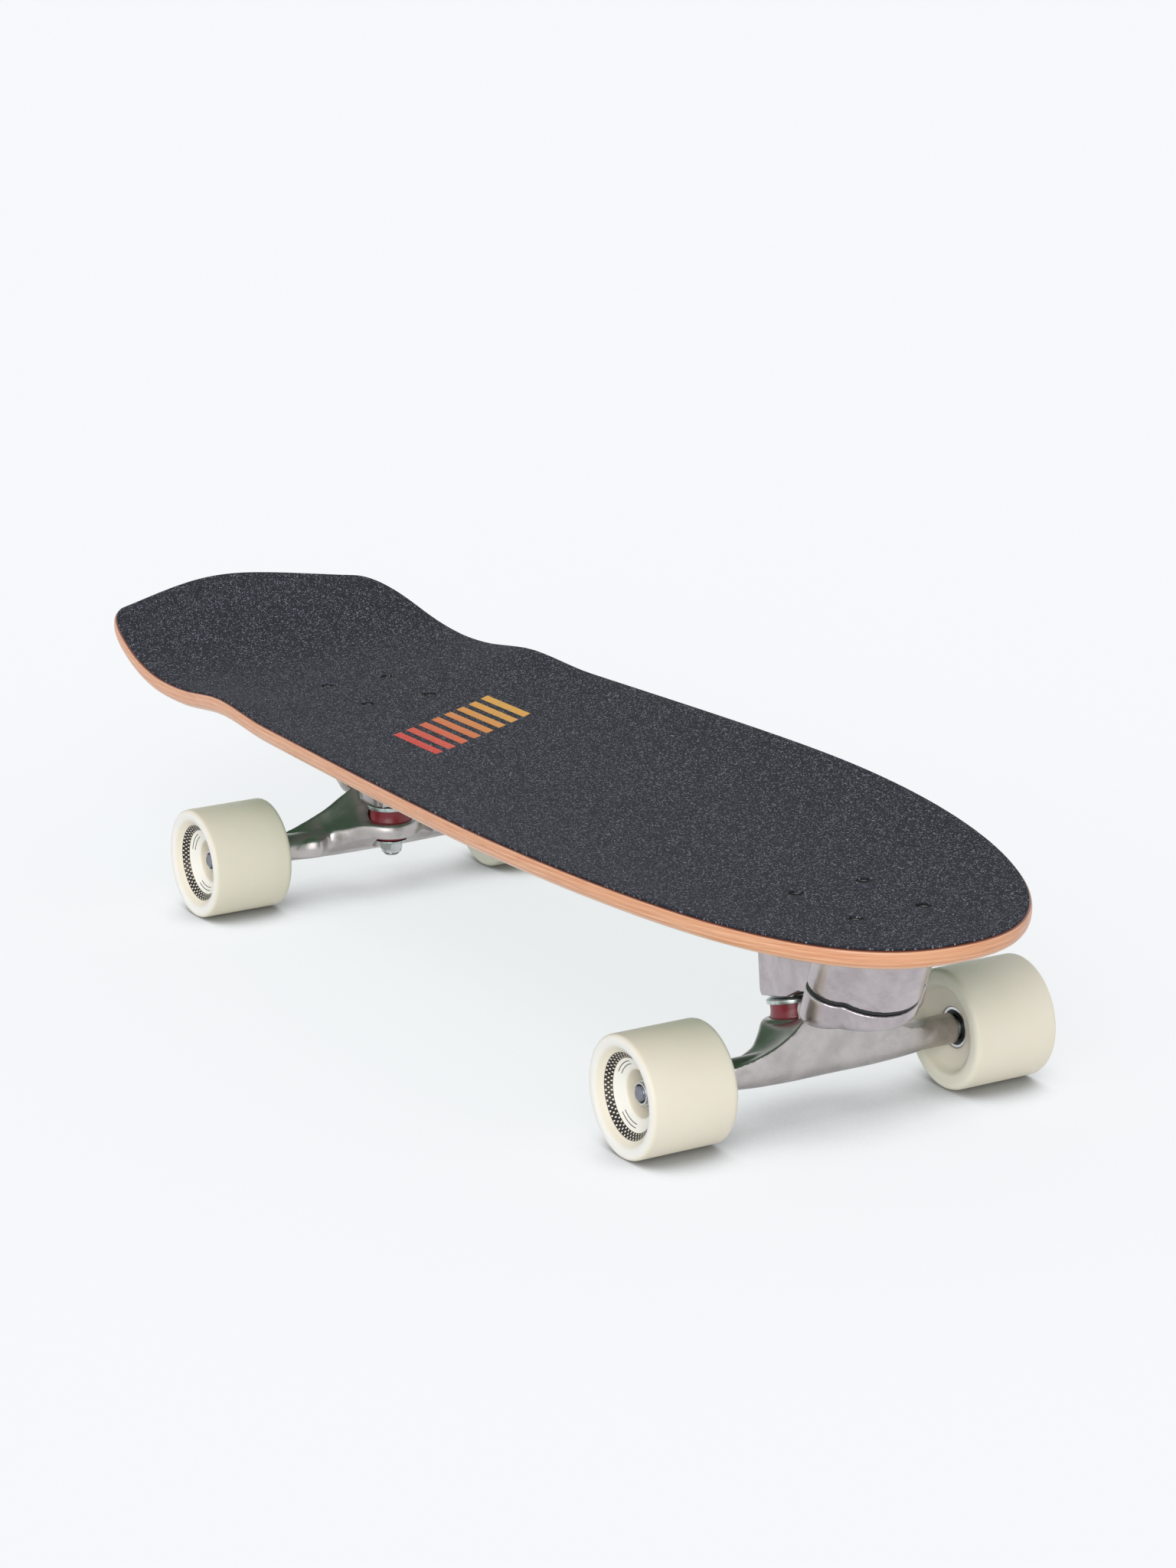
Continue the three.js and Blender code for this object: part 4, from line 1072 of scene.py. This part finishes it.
def make_front_arm():
    shells = [sliced(piece, (0, 0, ARM_FOOT), (0, 0, -1)) for piece in housing(-45, -1.2, 0.9)]
    shells = [softened(piece, 6, ARM_FOOT) for piece in shells]
    collar = turned(rounded([(0, 25.4), (13.3, 25.4, 1.2), (13.3, 42), (0, 42)]), *kingpin_line("front"))
    piece = cast(*shells, arm_neck(), collar, pivot_boss("front"))
    recess = turned([(0, -16), (6.3, -16), (6.3, -7.2), (16.6, -7.2), (16.6, 5), (0, 5)], SWING, SWING_AXIS)
    steering = along_steering("front", [(0, 15), (12.3, 15), (12.3, 42.5), (9.5, 43.5), (0, 43.5)])
    cut(piece, recess, steering, *kingpin_bores("front"), pivot_bore("front"))
    return settle(piece, "front_swing_arm", POLISHED, "front_arm", smooth=40)


def make_rear_baseplate():
    piece = cast(copied("rear_baseplate"), grain=0.8, rounds=4)
    return settle(piece, "rear_cast_baseplate", TUMBLED, "rear_baseplate", smooth=40)


def make_return_spring():
    """Round wire wound into a coil, with a leg turned along the axis at each end."""
    low, high, wire, coil = -4.9, 16.7, 2.0, 12.9
    turns, per_turn = 4.5, 40
    points = [on_swing(0, -coil, low - wire - 3.9)]
    for step in range(int(turns * per_turn) + 1):
        a = step / per_turn * TURN - math.pi / 2
        points.append(on_swing(coil * math.cos(a), coil * math.sin(a), low + (high - low) * step / (turns * per_turn)))
    points.append(on_swing(0, coil, high + wire + 3.9))
    line = bpy.data.curves.new("spring_wire", "CURVE")
    line.dimensions = "3D"
    line.bevel_depth, line.bevel_resolution, line.use_fill_caps = 1.95 * MM, 4, True
    spline = line.splines.new("POLY")
    spline.points.add(len(points) - 1)
    for point, place in zip(spline.points, points):
        point.co = (*(place * MM), 1)
    piece = bpy.data.objects.new("spring_wire", line)
    bpy.context.scene.collection.objects.link(piece)
    only(piece)
    bpy.ops.object.convert(target="MESH")
    piece = bpy.context.object
    return settle(piece, "coiled_return_spring", ZINC, "return_spring")


make_front_base()
make_front_arm()
make_rear_baseplate()
make_return_spring()

for node, finish in {"thrust_ring": POLYMER, "swing_bushing": POLYMER, "swing_bolt": ZINC}.items():
    frame["nodes"][node].data.materials.clear()
    frame["nodes"][node].data.materials.append(finish.material)


# ---- Studio ----
PALE, CONTACT_SHADE = (246, 248, 250), (60, 60, 56)
GLOW_SHARE, GLOW_STRENGTH, SHADE_REACH = 0.68, 1.15, 0.075


def make_floor():
    bpy.ops.object.select_all(action="DESELECT")
    bpy.ops.mesh.primitive_plane_add(size=60, location=(0, 0, 0))
    floor = bpy.context.object
    floor.name = "studio_floor"
    finish = Finish("studio_floor", Roughness=1.0, Specular_IOR_Level=0.0)
    finish.paint(Base_Color=PALE)
    near = finish.add("AmbientOcclusion", {"Distance": SHADE_REACH}, output="AO", samples=12)
    glow = finish.tree.nodes.new("ShaderNodeEmission")
    finish.connect(finish.mix(near.ramp(0.2, 0.78), CONTACT_SHADE, PALE), glow.inputs["Color"])
    glow.inputs["Strength"].default_value = GLOW_STRENGTH
    blend = finish.tree.nodes.new("ShaderNodeMixShader")
    finish.connect(finish.seen() * GLOW_SHARE, blend.inputs[0])
    finish.tree.links.new(finish.shader.outputs[0], blend.inputs[1])
    finish.tree.links.new(glow.outputs[0], blend.inputs[2])
    finish.tree.links.new(blend.outputs[0], finish.tree.nodes["Material Output"].inputs["Surface"])
    floor.data.materials.append(finish.material)


def make_lights():
    """A world that lights the set more from low down than from above but is seen as one pale tone, and a wide lamp."""
    world = bpy.data.worlds.new("studio")
    bpy.context.scene.world = world
    world.use_nodes = True
    sky = Recipe(world.node_tree)
    seen = sky.seen()
    height = sky.split(sky.add("TexCoord", output="Generated"))[2].larger(0)
    glow = 0.24 + 0.8 * (1 - height)
    background = world.node_tree.nodes["Background"]
    sky.connect(PALE, background.inputs["Color"])
    sky.connect(seen + (1 - seen) * glow, background.inputs["Strength"])
    sun = bpy.data.lights.new("large_side_light", "SUN")
    toward = Vector((0.68, -0.55, 0.46)).normalized()
    sun.energy = 0.5 * math.pi
    sun.angle = math.radians(50)
    lamp = bpy.data.objects.new("large_side_light", sun)
    lamp.rotation_euler = toward.to_track_quat("Z", "Y").to_euler()
    bpy.context.scene.collection.objects.link(lamp)


def make_camera():
    right, up, back = (0.50726, 0.86166, -0.01501), (-0.22113, 0.14697, 0.96411), (0.83294, -0.48573, 0.26508)
    lens = bpy.data.cameras.new("studio_camera")
    lens.lens, lens.sensor_width, lens.sensor_fit = 100.11, 36, "AUTO"
    lens.clip_start, lens.clip_end = 0.05, 60
    camera = bpy.data.objects.new("studio_camera", lens)
    turned_to = Matrix((right, up, back)).transposed().to_4x4()
    camera.matrix_world = Matrix.Translation((2.07859, -1.18205, 0.76796)) @ turned_to
    bpy.context.scene.collection.objects.link(camera)
    bpy.context.scene.camera = camera


make_floor()
make_lights()
make_camera()
bpy.context.scene.view_settings.view_transform = "Standard"
